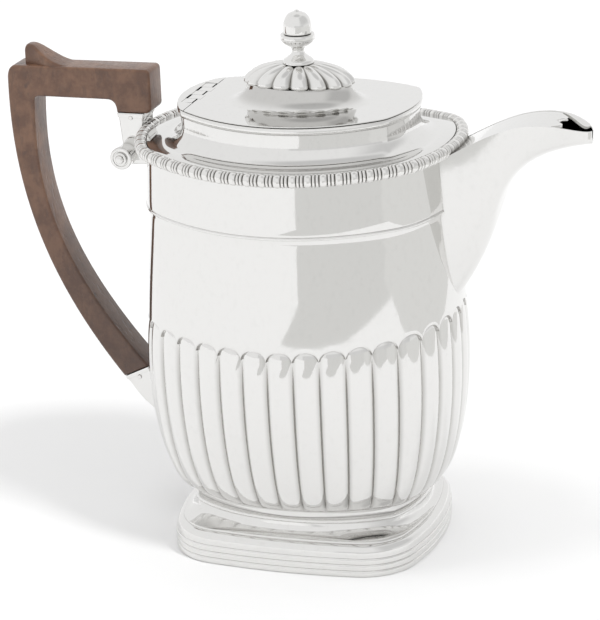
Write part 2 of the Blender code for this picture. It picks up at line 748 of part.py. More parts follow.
def handle_outline():
    """Side view of the wooden handle: block, bar, thumb rest, bowed grip and lower end."""
    m = handle_marks()
    half_end = 0.535 * HANDLE_DEPTH
    outer_end = m["end"] - m["across"] * half_end
    inner_end = m["end"] + m["across"] * half_end
    top, under, low = m["bar_top"], m["bar_under"], m["block_low"]
    right, left, back = m["block_right"], m["block_left"], m["back"]
    soft = 0.12 * BAR_HEIGHT
    thumb = back + 0.8 * HANDLE_DEPTH
    peak = top + THUMB_HEIGHT
    shoulder_z = top - 0.48 * BAR_HEIGHT
    grip = back + HANDLE_DEPTH
    points = [(right - 2 * soft, low), (right, low + 2 * soft), (right, top - soft), (right - soft, top)]
    points += curve(
        (thumb + 1.5 * HANDLE_DEPTH, top),
        (thumb + 0.7 * HANDLE_DEPTH, top),
        (thumb + 0.4 * HANDLE_DEPTH, peak),
        (thumb, peak),
        7,
    )
    points += [(thumb - 0.18 * HANDLE_DEPTH, peak - soft), (thumb - 0.2 * HANDLE_DEPTH, top - 0.2 * soft)]
    points += curve(
        (back + 0.45 * HANDLE_DEPTH, top - 0.2 * soft),
        (back + 0.1 * HANDLE_DEPTH, top),
        (back, top - 2 * soft),
        (back, shoulder_z),
        5,
    )
    points += curve(
        (back, shoulder_z),
        (back - 0.1 * HANDLE_DEPTH, mix(shoulder_z, outer_end.y, 0.3625)),
        (back + 0.96 * HANDLE_DEPTH, mix(shoulder_z, outer_end.y, 0.673)),
        outer_end,
        11,
    )[1:]
    points += curve(
        inner_end,
        (grip + 0.41 * HANDLE_DEPTH, mix(under, inner_end.y, 0.614)),
        (grip - 0.21 * HANDLE_DEPTH, mix(under, inner_end.y, 0.34)),
        (grip, under - 0.5 * soft),
        10,
    )
    points += [(grip + 0.5 * soft, under), (left - 2.6 * soft, under)]
    points += [(left - soft, under - 0.6 * soft), (left, low)]
    return points


def handle_pin_spots():
    """Middles of the two pins, in the XZ plane."""
    m = handle_marks()
    upper = Vector((upper_socket_spot()[0], m["block_low"] - PIN_LEVEL * UPPER_TENON))
    return upper, m["end"] + m["along"] * (PIN_LEVEL * LOWER_TENON)


def pin_room(spot):
    half = HANDLE_THICK
    return cylinder_mesh(PIN_RADIUS + FIT, -half, half, crosswise(spot.x, spot.y), 10)


def upper_socket_spot():
    """Middle of the upper socket along X and half its width there."""
    m = handle_marks()
    return m["block_left"] + 0.39 * BLOCK_LENGTH, 0.375 * BLOCK_LENGTH


def wood_handle(parent):
    """Wooden handle with softened edges, a tenon for each socket and the holes for its pins."""
    half = HANDLE_THICK / 2
    piece = add_piece("wood_handle", prism_mesh(handle_outline(), -half, half), parent, WOOD)
    soften = piece.modifiers.new("soft_edges", "BEVEL")
    soften.width = HANDLE_EDGE
    soften.segments = 2
    soften.limit_method = "ANGLE"
    soften.angle_limit = math.radians(50)
    m = handle_marks()
    x_axis = Vector((1.0, 0.0))
    middle, half_width = upper_socket_spot()
    slim = half_width - SHEET - FIT
    thin = SOCKET_THICK / 2 - SHEET - FIT
    upper = []
    for z in (m["block_low"] - UPPER_TENON, m["block_low"] + SINK):
        upper.append(block_ring(Vector((middle, z)), x_axis, slim, thin, FIT))
    lower = []
    for reach in (-SINK, LOWER_TENON):
        spot = m["end"] + m["along"] * reach
        lower.append(block_ring(spot, m["across"], 0.4 * HANDLE_DEPTH - FIT, thin, FIT))
    join(piece, merged([rings_mesh(upper, closed=False), rings_mesh(lower, closed=False)]))
    cut(piece, merged([pin_room(spot) for spot in handle_pin_spots()]))


def upper_socket(parent):
    """Tapered socket with a raised band at its mouth, saddled on the roll."""
    m = handle_marks()
    x_axis = Vector((1.0, 0.0))
    middle, half_width = upper_socket_spot()
    mouth = m["block_low"] - FIT
    foot = ROLL_Z + 0.5 * ROLL_RADIUS
    band = mouth - 0.11 * SOCKET_HEIGHT
    thick = SOCKET_THICK / 2
    lip = SOCKET_BAND
    rings = []
    for z, share, out in ((foot, 0.82, 0.0), (band, 0.97, 0.0), (band + lip, 1.0, lip), (mouth, 1.0, lip)):
        spot = Vector((middle, z))
        rings.append(block_ring(spot, x_axis, share * half_width + out, share * thick + out, 2 * lip))
    piece = add_piece("upper_socket", rings_mesh(rings, closed=False), parent)
    room = []
    for z in (mouth - UPPER_TENON - FIT, mouth + OVERCUT):
        room.append(block_ring(Vector((middle, z)), x_axis, half_width - SHEET, thick - SHEET, FIT))
    cut(piece, rings_mesh(room, closed=False))
    cut(piece, pin_room(handle_pin_spots()[0]))
    cut(piece, cylinder_mesh(ROLL_RADIUS + FIT, -ROLL_LENGTH, ROLL_LENGTH, crosswise(ROLL_X, ROLL_Z)))
    cut(piece, body_room())


def lower_socket(parent):
    """Socket at the handle's foot, tapering down into the side of the body."""
    m = handle_marks()
    end, along, across = m["end"], m["along"], m["across"]
    thick = SOCKET_THICK / 2
    root = Vector((SINK - HALF_LENGTH, end.y - SOCKET_ROOT_DROP - SOCKET_ROOT_HEIGHT / 2))
    upward = Vector((0.0, 1.0))
    rings = [
        block_ring(end + along * FIT, across, 0.5 * HANDLE_DEPTH, thick, 2 * FIT),
        block_ring(end + along * SOCKET_LIP, across, 0.5 * HANDLE_DEPTH, thick, 2 * FIT),
        block_ring(root, upward, SOCKET_ROOT_HEIGHT / 2, 0.8 * thick, 2 * FIT),
    ]
    piece = add_piece("lower_socket", rings_mesh(rings, closed=False), parent)
    room = []
    for reach in (-OVERCUT, LOWER_TENON + FIT):
        room.append(block_ring(end + along * reach, across, 0.4 * HANDLE_DEPTH, thick - SHEET, FIT))
    cut(piece, rings_mesh(room, closed=False))
    cut(piece, pin_room(handle_pin_spots()[1]))
    cut(piece, body_room())


def socket_pins(parent):
    """Two plain pins that hold the wood in its sockets."""
    half = SOCKET_THICK / 2 + PIN_STAND
    for name, spot in zip(("upper_socket_pin", "lower_socket_pin"), handle_pin_spots()):
        add_piece(name, cylinder_mesh(PIN_RADIUS, -half, half, crosswise(spot.x, spot.y), 10), parent)


def socket_roll(parent):
    """Horizontal roll that carries the upper socket, with a stepped boss on each end."""
    half = ROLL_LENGTH / 2
    soft = 0.15 * ROLL_RADIUS
    frame = crosswise(ROLL_X, ROLL_Z)
    profile = [(0, -half), (ROLL_RADIUS - soft, -half), (ROLL_RADIUS, -half + soft)]
    profile += [(ROLL_RADIUS, half - soft), (ROLL_RADIUS - soft, half), (0, half)]
    add_piece("socket_roll", turned_mesh(profile, frame), parent)
    boss = ((0.0, 0.0), (0.58, 0.0), (0.58, 0.2), (0.36, 0.2), (0.36, 0.4), (0.0, 0.46))
    for name, side in (("roll_boss_front", -1), ("roll_boss_back", 1)):
        profile = [(out * ROLL_RADIUS, side * (half + FIT + up * ROLL_RADIUS)) for out, up in boss]
        add_piece(name, turned_mesh(profile, frame, 12), parent)


def roll_bracket(parent):
    """Saddle block between the roll and the collar band."""
    half = 0.26 * ROLL_LENGTH
    low = (ROLL_X + 0.4 * ROLL_RADIUS, -half, ROLL_Z - 0.9 * ROLL_RADIUS)
    high = (SINK - HALF_LENGTH, half, ROLL_Z + 0.5 * ROLL_RADIUS - FIT)
    piece = add_piece("roll_bracket", box_mesh(low, high), parent)
    cut(piece, cylinder_mesh(ROLL_RADIUS + FIT, -ROLL_LENGTH, ROLL_LENGTH, crosswise(ROLL_X, ROLL_Z)))
    cut(piece, body_room())


def oval_ring(half_length, half_width, z):
    """Oval ring whose points keep step with the lid's outline."""
    points = []
    for angle in spaced_angles(LID_POINTS):
        edge = plan_point(angle, LID_OFFSET, 0.0)
        turn = math.atan2(edge.y / (BODY_WIDTH / 2), edge.x / HALF_LENGTH)
        points.append(raised(half_length * math.cos(turn), half_width * math.sin(turn), z))
    return points


def lid_mesh():
    """Whole lid: a flat top with a rounded edge, raised in a concave sweep to a platform for the dome."""
    long, wide = CROWN_LENGTH / 2, CROWN_WIDTH / 2
    top_long, top_wide = 0.91 * DOME_LENGTH / 2, 0.91 * DOME_WIDTH / 2
    hole = STUD_RADIUS + 2 * FIT
    soft = 0.3 * LID_THICK
    base_z = LID_TOP + 0.1 * LID_CROWN
    edge = ((LID_OFFSET, LID_BOTTOM), (LID_OFFSET, LID_TOP - soft), (LID_OFFSET - 2 * soft, LID_TOP))
    sweep = [(long, wide, base_z)]
    sweep.append((mix(top_long, long, 0.3), mix(top_wide, wide, 0.3), mix(base_z, PLATFORM_Z, 0.4)))
    sweep.append((top_long, top_wide, PLATFORM_Z))
    rings = [ring(offset, z, LID_POINTS) for offset, z in edge]
    rings += [oval_ring(*size) for size in sweep]
    rings += [oval_ring(hole, hole, PLATFORM_Z), oval_ring(hole, hole, PLATFORM_Z - SHEET)]
    rings += [oval_ring(x - SHEET, y - SHEET, z - SHEET) for x, y, z in reversed(sweep[1:])]
    rings.append(oval_ring(long - SHEET, wide - SHEET, LID_BOTTOM))
    return rings_mesh(rings, closed=True)


def knuckle_meshes(parity, side):
    """Every second hinge knuckle, each with a web toward one side."""
    step = HINGE_LENGTH / KNUCKLES
    low, high = 0.5 * HINGE_RADIUS, 0.85 * HINGE_RADIUS
    web = HINGE_RADIUS + HINGE_CLEAR + SHEET
    start = math.asin(high / HINGE_RADIUS)
    end = 2 * math.pi + math.asin(low / HINGE_RADIUS)
    turns = np.linspace(start, end, 13)
    outline = [(HINGE_RADIUS * math.cos(turn), HINGE_RADIUS * math.sin(turn)) for turn in turns]
    outline += [(web, low), (web, high)]
    spots = [(HINGE_X + side * x, hinge_z() + z) for x, z in outline]
    meshes = []
    for index in range(parity, KNUCKLES, 2):
        near = -HINGE_LENGTH / 2 + index * step + FIT / 2
        meshes.append(prism_mesh(spots, near, near + step - FIT))
    return meshes


def hinge_bore():
    return cylinder_mesh(0.55 * HINGE_RADIUS, -HINGE_LENGTH, HINGE_LENGTH, crosswise(HINGE_X, hinge_z()), 12)


def lid_end(parent):
    """Fixed end of the lid with the outer and middle knuckles of the hinge."""
    piece = add_piece("lid_end", lid_mesh(), parent)
    gap = HINGE_RADIUS + FIT
    half = HINGE_LENGTH / 2 + FIT
    low, high = NECK_TOP - OVERCUT, FINIAL_Z + OVERCUT
    far = BODY_LENGTH
    cut(piece, box_mesh((HINGE_X + 0.75 * HINGE_RADIUS, -far, low), (far, far, high)))
    cut(piece, box_mesh((HINGE_X - gap, -half, low), (far, half, high)))
    join(piece, merged(knuckle_meshes(0, -1)))
    cut(piece, hinge_bore())


def hinge_pin(parent):
    """Pin through all the knuckles."""
    half = HINGE_LENGTH / 2
    pin = cylinder_mesh(0.55 * HINGE_RADIUS - FIT, -half, half, crosswise(HINGE_X, hinge_z()), 10)
    add_piece("hinge_pin", pin, parent)


def lid_plate(parent):
    """Moving part of the lid with its two knuckles."""
    piece = add_piece("lid_plate", lid_mesh(), parent)
    low, high = NECK_TOP - OVERCUT, FINIAL_Z + OVERCUT
    far = BODY_LENGTH
    cut(piece, box_mesh((-far, -far, low), (HINGE_X + HINGE_RADIUS + HINGE_CLEAR, far, high)))
    join(piece, merged(knuckle_meshes(1, 1)))
    cut(piece, hinge_bore())


def lid_bezel(parent):
    """Flange under the lid that drops into the neck, open at the hinge."""
    outside = NECK_OFFSET - SHEET - SLIDE
    top = LID_BOTTOM - FIT
    low = top - BEZEL_DROP
    path = [(outside, top), (outside - SHEET, top), (outside - SHEET, low), (outside, low)]
    piece = add_piece("lid_bezel", rings_mesh([ring(*point) for point in path], closed=True), parent)
    far = BODY_LENGTH
    cut(piece, box_mesh((-far, -far, 0.0), (HINGE_X + 3 * HINGE_RADIUS, far, far + BODY_TOP)))


def petal_ring(share, z, strength):
    """Ring of the dome: petals swell out between narrow grooves, four points to a petal."""
    points = []
    for index in range(4 * PETAL_COUNT):
        turn = 2 * math.pi * index / (4 * PETAL_COUNT)
        groove = strength * (2 * (index % 4) / 4 - 1) ** 2
        reach = share * (1 - 0.08 * groove)
        x = reach * DOME_LENGTH / 2 * math.cos(turn)
        y = reach * DOME_WIDTH / 2 * math.sin(turn)
        points.append(raised(x, y, z - groove * 0.06 * DOME_HEIGHT))
    return points


def plain_dome_ring(share, z):
    """Smooth ring inside the dome."""
    points = []
    for index in range(2 * PETAL_COUNT):
        turn = math.pi * index / PETAL_COUNT
        x = share * DOME_LENGTH / 2 * math.cos(turn)
        y = share * DOME_WIDTH / 2 * math.sin(turn)
        points.append(raised(x, y, z))
    return points


def lid_dome(parent):
    """Hollow dome of convex petals with a hole for the finial's screw."""
    low = PLATFORM_Z + FIT
    hole = (STUD_RADIUS + 2 * FIT) / (DOME_WIDTH / 2)
    rings = [petal_ring(0.94, low + 0.06 * DOME_HEIGHT, 0.5)]
    for share, level in ((1.0, 0.16), (0.93, 0.48), (0.78, 0.75), (0.55, 0.94)):
        rings.append(petal_ring(share, low + level * DOME_HEIGHT, 1.0))
    rings.append(petal_ring(0.3, low + DOME_HEIGHT, 0.2))
    rings.append(plain_dome_ring(hole, low + DOME_HEIGHT))
    rings.append(plain_dome_ring(hole, low + DOME_HEIGHT - SHEET))
    for share, level in ((0.5, 0.78), (0.7, 0.58), (0.82, 0.32), (0.84, 0.06)):
        rings.append(plain_dome_ring(share, low + level * DOME_HEIGHT))
    add_piece("lid_dome", rings_mesh(rings, closed=True), parent)


def finial(parent):
    """Acorn on a turned stem, held by a screw with a nut inside the lid."""
    bore = STUD_RADIUS + FIT
    bore_top = FINIAL_Z + 0.25 * FINIAL_HEIGHT
    cup_top = FINIAL_Z + 0.55 * FINIAL_HEIGHT
    stem = ((0.87, 0.0), (0.87, 0.035), (0.6, 0.07), (0.36, 0.15), (0.33, 0.22), (0.46, 0.27))
    bowl = ((0.5, 0.3), (0.82, 0.37), (1.0, 0.46), (1.0, 0.51), (0.9, 0.55))
    profile = [(0, bore_top), (bore, bore_top), (bore, FINIAL_Z)]
    profile += [(out * ACORN_RADIUS, FINIAL_Z + up * FINIAL_HEIGHT) for out, up in stem + bowl]
    add_piece("acorn_cup", turned_mesh(profile + [(0, cup_top)], upright(), 20), parent)
    nut_low = cup_top + FIT
    nut_high = FINIAL_Z + FINIAL_HEIGHT
    acorn = ((0.76, 0.0), (0.83, 0.16), (0.8, 0.4), (0.68, 0.66), (0.46, 0.84), (0.19, 0.92), (0.15, 0.97))
    profile = [(out * ACORN_RADIUS, mix(nut_low, nut_high, up)) for out, up in acorn]
    add_piece("acorn_nut", turned_mesh([(0, nut_low)] + profile + [(0, nut_high)], upright(), 20), parent)
    under = PLATFORM_Z - SHEET
    stud = cylinder_mesh(STUD_RADIUS, under - STUD_TAIL, bore_top - FIT, upright(), 10)
    add_piece("finial_stud", stud, parent)
    inside = 1.16 * bore
    high, low = under - FIT, under - FIT - NUT_HEIGHT
    profile = [(inside, low), (NUT_RADIUS, low), (NUT_RADIUS, high), (inside, high)]
    add_piece("finial_nut", turned_mesh(profile, upright(), 6, closed=True), parent)


def main():
    clear_scene()
    pot = add_axis("pot_axis", (0.0, 0.0, 0.0))
    body_shell(pot)
    base_plate(pot)
    collar_band(pot)
    gadroon_border(pot)
    shoulder(pot)
    lid_seat_rim(pot)
    foot_spread(pot)
    foot_rim(pot)
    spout_body(pot)
    spout_top_plate(pot)
    wood_handle(pot)
    upper_socket(pot)
    lower_socket(pot)
    socket_pins(pot)
    socket_roll(pot)
    roll_bracket(pot)
    lid_end(pot)
    hinge_pin(pot)
    lid_axis = add_axis("lid_axis", (HINGE_X, 0.0, hinge_z()))
    lid_plate(lid_axis)
    lid_bezel(lid_axis)
    lid_dome(lid_axis)
    finial(lid_axis)
    print("lid axis at", [round(value, 5) for value in lid_axis.location])


if __name__ == "__main__":
    main()
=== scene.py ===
"""Looks of a silver coffee pot: fine meshes, finishes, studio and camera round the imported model.

Lengths are in metres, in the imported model's frame: X runs from the handle to the spout, Y across the pot
and Z up from the table. Outlines round the pot are offsets of one cushion-shaped core, as in the model.
"""

import logging
import math
from collections.abc import Sequence
from dataclasses import dataclass, field
from enum import Enum

import bmesh
import bpy
import numpy as np
from mathutils import Matrix, Vector


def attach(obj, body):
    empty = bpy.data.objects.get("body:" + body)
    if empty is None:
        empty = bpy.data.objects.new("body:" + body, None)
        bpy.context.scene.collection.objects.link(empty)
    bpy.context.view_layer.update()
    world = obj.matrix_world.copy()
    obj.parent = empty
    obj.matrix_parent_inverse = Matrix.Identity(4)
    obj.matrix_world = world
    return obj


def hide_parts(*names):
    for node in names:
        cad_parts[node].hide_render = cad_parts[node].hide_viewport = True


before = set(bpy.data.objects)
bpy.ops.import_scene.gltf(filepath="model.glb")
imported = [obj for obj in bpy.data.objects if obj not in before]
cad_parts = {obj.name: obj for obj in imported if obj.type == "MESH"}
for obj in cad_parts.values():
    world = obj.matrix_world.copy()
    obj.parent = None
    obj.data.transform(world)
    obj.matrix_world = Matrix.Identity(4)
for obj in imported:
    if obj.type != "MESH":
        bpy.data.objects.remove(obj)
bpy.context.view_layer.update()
LOG = logging.getLogger("coffee_pot")

MM = 0.001
# Points nearer than WELD are joined, and an edge that turns more than CREASE degrees stays sharp.
WELD = 1e-7
CREASE = 38.0
Array = np.ndarray
Spot = Sequence[float] | Array
Path = Sequence[Spot] | Array
Triple = tuple[float, float, float]
Piece = bpy.types.Object
Socket = bpy.types.NodeSocket


class Rider(Enum):
    """Bodies of the model that pieces ride on."""

    POT = "pot"
    LID = "lid"


class Slot(Enum):
    """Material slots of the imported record."""

    SHEET = "silver_sheet"
    CAST = "silver_cast"
    FITTINGS = "silver_fittings"
    WOOD = "handle_wood"


class Cut(Enum):
    """Ways that a helper mesh shapes a piece."""

    AWAY = "DIFFERENCE"
    ON = "UNION"


def eased(value: Array | float) -> Array:
    """Smooth step from 0 to 1, level below and above."""
    share = np.clip(value, 0.0, 1.0)
    return share * share * (3.0 - 2.0 * share)


def mix(first: Array | float, second: Array | float, share: Array | float) -> Array | float:
    """Value a share of the way from first to second."""
    return first + (second - first) * share


def dome(share: Array | float) -> Array:
    """Quarter-round rise: steep at 0 and level from 1 on."""
    return np.sqrt(np.clip(1.0 - (1.0 - np.clip(share, 0.0, 1.0)) ** 2, 0.0, 1.0))


def arched(across: Array, fullness: float) -> Array:
    """Drop of a rounded section at places from -1 to 1 across it: 0 at its crest and 1 at both sides."""
    return (1 - np.sqrt(1 - (fullness * across) ** 2)) / (1 - math.sqrt(1 - fullness**2))


def bend(start: Spot, leave: Spot, arrive: Spot, end: Spot, count: int) -> Array:
    """Points of one cubic curve.

    Args:
        start: First point.
        leave: Handle that the curve leaves the first point toward.
        arrive: Handle that the curve reaches the last point from.
        end: Last point.
        count: How many points, both ends included.

    Returns:
        One point a row.
    """
    along = np.linspace(0.0, 1.0, count)[:, None]
    knots = [np.asarray(knot, float) for knot in (start, leave, arrive, end)]
    weights = ((1 - along) ** 3, 3 * along * (1 - along) ** 2, 3 * along**2 * (1 - along), along**3)
    return sum(weight * knot for weight, knot in zip(weights, knots))


def bow(centre: Spot, radii: Spot, start: float, end: float, count: int) -> Array:
    """Points of an elliptical arc in a plane, one a row, from one angle to another in degrees."""
    turn = np.radians(np.linspace(start, end, count))
    return np.stack([centre[0] + radii[0] * np.cos(turn), centre[1] + radii[1] * np.sin(turn)], 1)


def spline(knots: Path, steps: int) -> Array:
    """Smooth curve through points.

    Args:
        knots: Points that the curve passes through.
        steps: How many steps from one point to the next.

    Returns:
        One point a row, the first and last knots included.
    """
    points = np.asarray(knots, float)
    padded = np.vstack([2 * points[0] - points[1], points, 2 * points[-1] - points[-2]])
    along = np.linspace(0.0, 1.0, steps, endpoint=False)[:, None]
    rows = []
    for before, here, there, after in zip(padded, padded[1:], padded[2:], padded[3:]):
        slope, bent = there - before, 2 * before - 5 * here + 4 * there - after
        last = 3 * (here - there) + after - before
        rows.append(here + 0.5 * (slope * along + bent * along**2 + last * along**3))
    return np.vstack(rows + [points[-1:]])


def inset_path(path: Array, distance: float, closed: bool = False) -> Array:
    """Path in a plane moved sideways, to the right of its direction.

    Args:
        path: One point a row.
        distance: How far it moves.
        closed: Whether the last point leads back to the first.

    Returns:
        The moved points.
    """
    if closed:
        into, out = path - np.roll(path, 1, 0), np.roll(path, -1, 0) - path
    else:
        steps = np.diff(path, axis=0)
        into, out = np.vstack([steps[:1], steps]), np.vstack([steps, steps[-1:]])
    sides = []
    for step in (into, out):
        length = np.maximum(np.linalg.norm(step, axis=1, keepdims=True), 1e-12)
        sides.append(np.stack([step[:, 1], -step[:, 0]], 1) / length)
    middle = sides[0] + sides[1]
    middle /= np.maximum(np.linalg.norm(middle, axis=1, keepdims=True), 1e-12)
    reach = np.maximum((middle * sides[0]).sum(1, keepdims=True), 0.5)
    return path + distance * middle / reach


@dataclass(frozen=True)
class CushionPlan:
    """Cushion-shaped core of an outline: bowed ends and sides between four corner points."""

    corner_x: float
    corner_y: float
    end_bow: float
    side_bow: float

    def core(self, facing: Array) -> Array:
        """Points of the core whose outline faces the given angles.

        Args:
            facing: Angles from the X axis, in radians.

        Returns:
            X and Y, one point a row.
        """
        turn = np.arctan2(np.abs(np.sin(facing)), np.abs(np.cos(facing)))
        end_radius = (self.corner_y**2 + self.end_bow**2) / (2 * self.end_bow)
        side_radius = (self.corner_x**2 + self.side_bow**2) / (2 * self.side_bow)
        on_end = turn < math.asin(self.corner_y / end_radius)
        on_side = math.pi / 2 - turn < math.asin(self.corner_x / side_radius)
        end_x = self.corner_x + self.end_bow - end_radius * (1 - np.cos(turn))
        side_y = self.corner_y + self.side_bow - side_radius * (1 - np.sin(turn))
        x = np.where(on_end, end_x, np.where(on_side, side_radius * np.cos(turn), self.corner_x))
        y = np.where(on_end, end_radius * np.sin(turn), np.where(on_side, side_y, self.corner_y))
        return np.stack([np.copysign(x, np.cos(facing)), np.copysign(y, np.sin(facing))], 1)


@dataclass(frozen=True)
class PotForm:
    """Sizes that the sub-assemblies share, and the rings they are drawn on."""

    body_x: float = 2.3 * MM
    half_length: float = 62.8 * MM
    half_width: float = 53.1 * MM
    corner_round: float = 23.5 * MM
    foot_reach: float = 54.9 * MM
    foot_round: float = 23.8 * MM
    end_rise: float = 3.0 * MM
    foot_top: float = 20.0 * MM
    belly_z: float = 80.4 * MM
    collar_bottom: float = 141.9 * MM
    body_top: float = 163.7 * MM
    neck_top: float = 182.7 * MM
    sheet: float = 1.1 * MM
    fit: float = 0.3 * MM
    shell_offset: float = 22.3 * MM
    base_offset: float = 7.5 * MM
    border_offset: float = 24.65 * MM
    border_z: float = 166.2 * MM
    border_radius: float = 2.65 * MM
    neck_offset: float = 8.2 * MM
    lid_offset: float = 9.3 * MM
    lid_bottom: float = 182.0 * MM
    lid_edge: float = 182.95 * MM
    lid_top: float = 183.3 * MM
    platform_z: float = 190.3 * MM
    hinge_x: float = -42.3 * MM
    hinge_z: float = 182.66 * MM
    body_plan: CushionPlan = CushionPlan(35.0 * MM, 18.0 * MM, 4.3 * MM, 11.6 * MM)
    foot_plan: CushionPlan = CushionPlan(28.2 * MM, 22.2 * MM, 2.9 * MM, 1.8 * MM)

    def lift(self, x: Array, z: Array | float) -> Array:
        """Height that the upper body gains toward its two ends, at distances from its middle."""
        share = eased((np.asarray(z) - self.belly_z) / (self.body_top - self.belly_z))
        return self.end_rise * share * (x / self.half_length) ** 2

    def place(self, x: Array, y: Array, z: Array | float) -> Array:
        """Points given from the middle of the body, raised at its ends, in the model's frame."""
        high = np.broadcast_to(z, np.shape(x)) + self.lift(x, z)
        return np.stack([x + self.body_x, y, high], -1)

    def facing(self, shares: Array) -> Array:
        """Facing angles at shares of the way round the collar band.

        Args:
            shares: Shares of the outline's length, from the spout's end on.

        Returns:
            Angles in radians.
        """
        dense = np.linspace(0.0, 2 * math.pi, 20001)
        outline = self.body_plan.core(dense)
        outline = outline + self.corner_round * np.stack([np.cos(dense), np.sin(dense)], 1)
        steps = np.linalg.norm(np.diff(outline, axis=0), axis=1)
        length = np.concatenate([[0.0], np.cumsum(steps)])
        return np.interp(np.asarray(shares) * length[-1], length, dense)

    def ring(self, facing: Array, offset: Array | float, z: Array | float, foot_share: float = 0.0) -> Array:
        """Ring round the pot.

        Args:
            facing: Facing angles of its points.
            offset: How far it stands out from the core.
            z: Its height.
            foot_share: How far the body's outline has turned into the foot's.

        Returns:
            One point a row.
        """
        core = mix(self.body_plan.core(facing), self.foot_plan.core(facing), foot_share)
        x = core[:, 0] + offset * np.cos(facing)
        y = core[:, 1] + offset * np.sin(facing)
        return self.place(x, y, z)

    def foot_ring(self, facing: Array, reach: float, z: float, foot_share: float) -> Array:
        """Ring of the foot, given by how far it reaches along X from the middle."""
        core = mix(self.half_length - self.corner_round, self.foot_reach - self.foot_round, foot_share)
        return self.ring(facing, reach - core, z, foot_share)


FORM = PotForm()
# Points of a plain ring and the angles they face.
ROUND = 288
EVEN = FORM.facing(np.arange(ROUND) / ROUND)
# Height from which a leaning cutter leans, and how far cutters reach past the pot's sides and its lid.
LEAN_TOP = FORM.hinge_z + 2.0 * MM
PAST_SIDES = 200.0 * MM
PAST_LID = (100.0 * MM, 300.0 * MM)


class Skin:
    """Points and faces of one piece, gathered from rows of rings."""

    def __init__(self) -> None:
        """Start with nothing."""
        self.points: list[Array] = []
        self.hollows: list[Array] = []
        self.faces: list[list[int]] = []
        self.size = 0

    def loft(self, rings: Sequence[Array], closed: bool = False, hollow: Array | float = 0.0) -> "Skin":
        """Add a skin over rings of equal count.

        Args:
            rings: Rows of points, each row a loop.
            closed: Whether the last ring joins the first; else both end rings are filled.
            hollow: How far each point lies in crevices, from 0 to 1, which the silver finishes paint as
                shade.

        Returns:
            The skin itself.
        """
        grid = np.asarray(rings, float)
        rows, columns = grid.shape[:2]
        index = self.size + np.arange(rows * columns).reshape(rows, columns)
        following = np.roll(index, -1, 0) if closed else index[1:]
        current = index if closed else index[:-1]
        quads = np.stack([current, np.roll(current, -1, 1), np.roll(following, -1, 1), following], -1)
        self.faces += quads.reshape(-1, 4).tolist()
        if not closed:
            self.faces += [index[0, ::-1].tolist(), index[-1].tolist()]
        self.points.append(grid.reshape(-1, 3))
        self.hollows.append(np.broadcast_to(hollow, (rows, columns)).reshape(-1))
        self.size += rows * columns
        return self

    def turned(self, profile: Path, axis: Matrix, steps: int = 64) -> "Skin":
        """Add a turned shape.

        Args:
            profile: Radius and height of its outline; a radius of 0 closes it.
            axis: Frame whose Z axis it is turned on.
            steps: How many points go round.

        Returns:
            The skin itself.
        """
        turn = 2 * math.pi * np.arange(steps) / steps
        matrix = np.array(axis)
        rings = []
        for radius, height in np.asarray(profile, float):
            spots = np.stack([radius * np.cos(turn), radius * np.sin(turn), np.full(steps, height)], 1)
            rings.append(spots @ matrix[:3, :3].T + matrix[:3, 3])
        return self.loft(rings)

    def make(self, name: str, crease: float = CREASE) -> Piece:
        """Make an object of what was gathered.

        Args:
            name: The object's name.
            crease: Angle in degrees above which an edge stays sharp.

        Returns:
            The new object.
        """
        mesh = bpy.data.meshes.new(name)
        mesh.from_pydata(np.concatenate(self.points).tolist(), [], self.faces)
        # Point attribute that the silver finishes read to paint shade in crevices.
        crevice = mesh.attributes.new("hollow", "FLOAT", "POINT")
        crevice.data.foreach_set("value", np.concatenate(self.hollows).astype(np.float32))
        bm = bmesh.new()
        bm.from_mesh(mesh)
        bmesh.ops.remove_doubles(bm, verts=bm.verts, dist=WELD)
        bmesh.ops.recalc_face_normals(bm, faces=bm.faces)
        bm.to_mesh(mesh)
        bm.free()
        mesh.shade_smooth()
        mesh.set_sharp_from_angle(angle=math.radians(crease))
        thing = bpy.data.objects.new(name, mesh)
        bpy.context.scene.collection.objects.link(thing)
        return thing


def carve(piece: Piece, tool: Piece, way: Cut, crease: float = CREASE) -> None:
    """Cut a helper out of a piece, or join it on, and remove the helper.

    Args:
        piece: What is shaped.
        tool: The helper.
        way: Whether the helper is cut away or joined on.
        crease: Angle in degrees above which an edge stays sharp.
    """
    shaping = piece.modifiers.new("shaping", "BOOLEAN")
    shaping.operation = way.value
    shaping.solver = "EXACT"
    shaping.object = tool
    graph = bpy.context.evaluated_depsgraph_get()
    shaped = bpy.data.meshes.new_from_object(piece.evaluated_get(graph))
    piece.modifiers.clear()
    piece.data = shaped
    bpy.data.objects.remove(tool)
    shaped.shade_smooth()
    shaped.set_sharp_from_angle(angle=math.radians(crease))


def block(low: Spot, high: Spot, lean: float = 0.0) -> Piece:
    """Plain box, for cutting.

    Args:
        low: Its lowest corner.
        high: Its highest corner.
        lean: How far its side at the high X moves out for each step down from the lid's top.

    Returns:
        The box.
    """
    rings = []
    for z in (low[2], high[2]):
        far = high[0] + lean * (LEAN_TOP - z)
        flat = [(low[0], low[1]), (far, low[1]), (far, high[1]), (low[0], high[1])]
        rings.append(np.column_stack([flat, np.full(4, z)]))
    return Skin().loft(rings).make("cutter")


def band(path: Path, name: str, crease: float = CREASE) -> Piece:
    """Closed band round the pot, from the offset and height of each corner of its section."""
    return Skin().loft([FORM.ring(EVEN, *spot) for spot in path], closed=True).make(name, crease)


def crosswise(x: float, z: float) -> Matrix:
    """Frame whose Z axis runs along Y, at a place given from the middle of the body."""
    return Matrix.Translation((x + FORM.body_x, 0.0, z)) @ Matrix.Rotation(-math.pi / 2, 4, "X")


def upright() -> Matrix:
    """Frame whose Z axis is the middle of the body."""
    return Matrix.Translation((FORM.body_x, 0.0, 0.0))


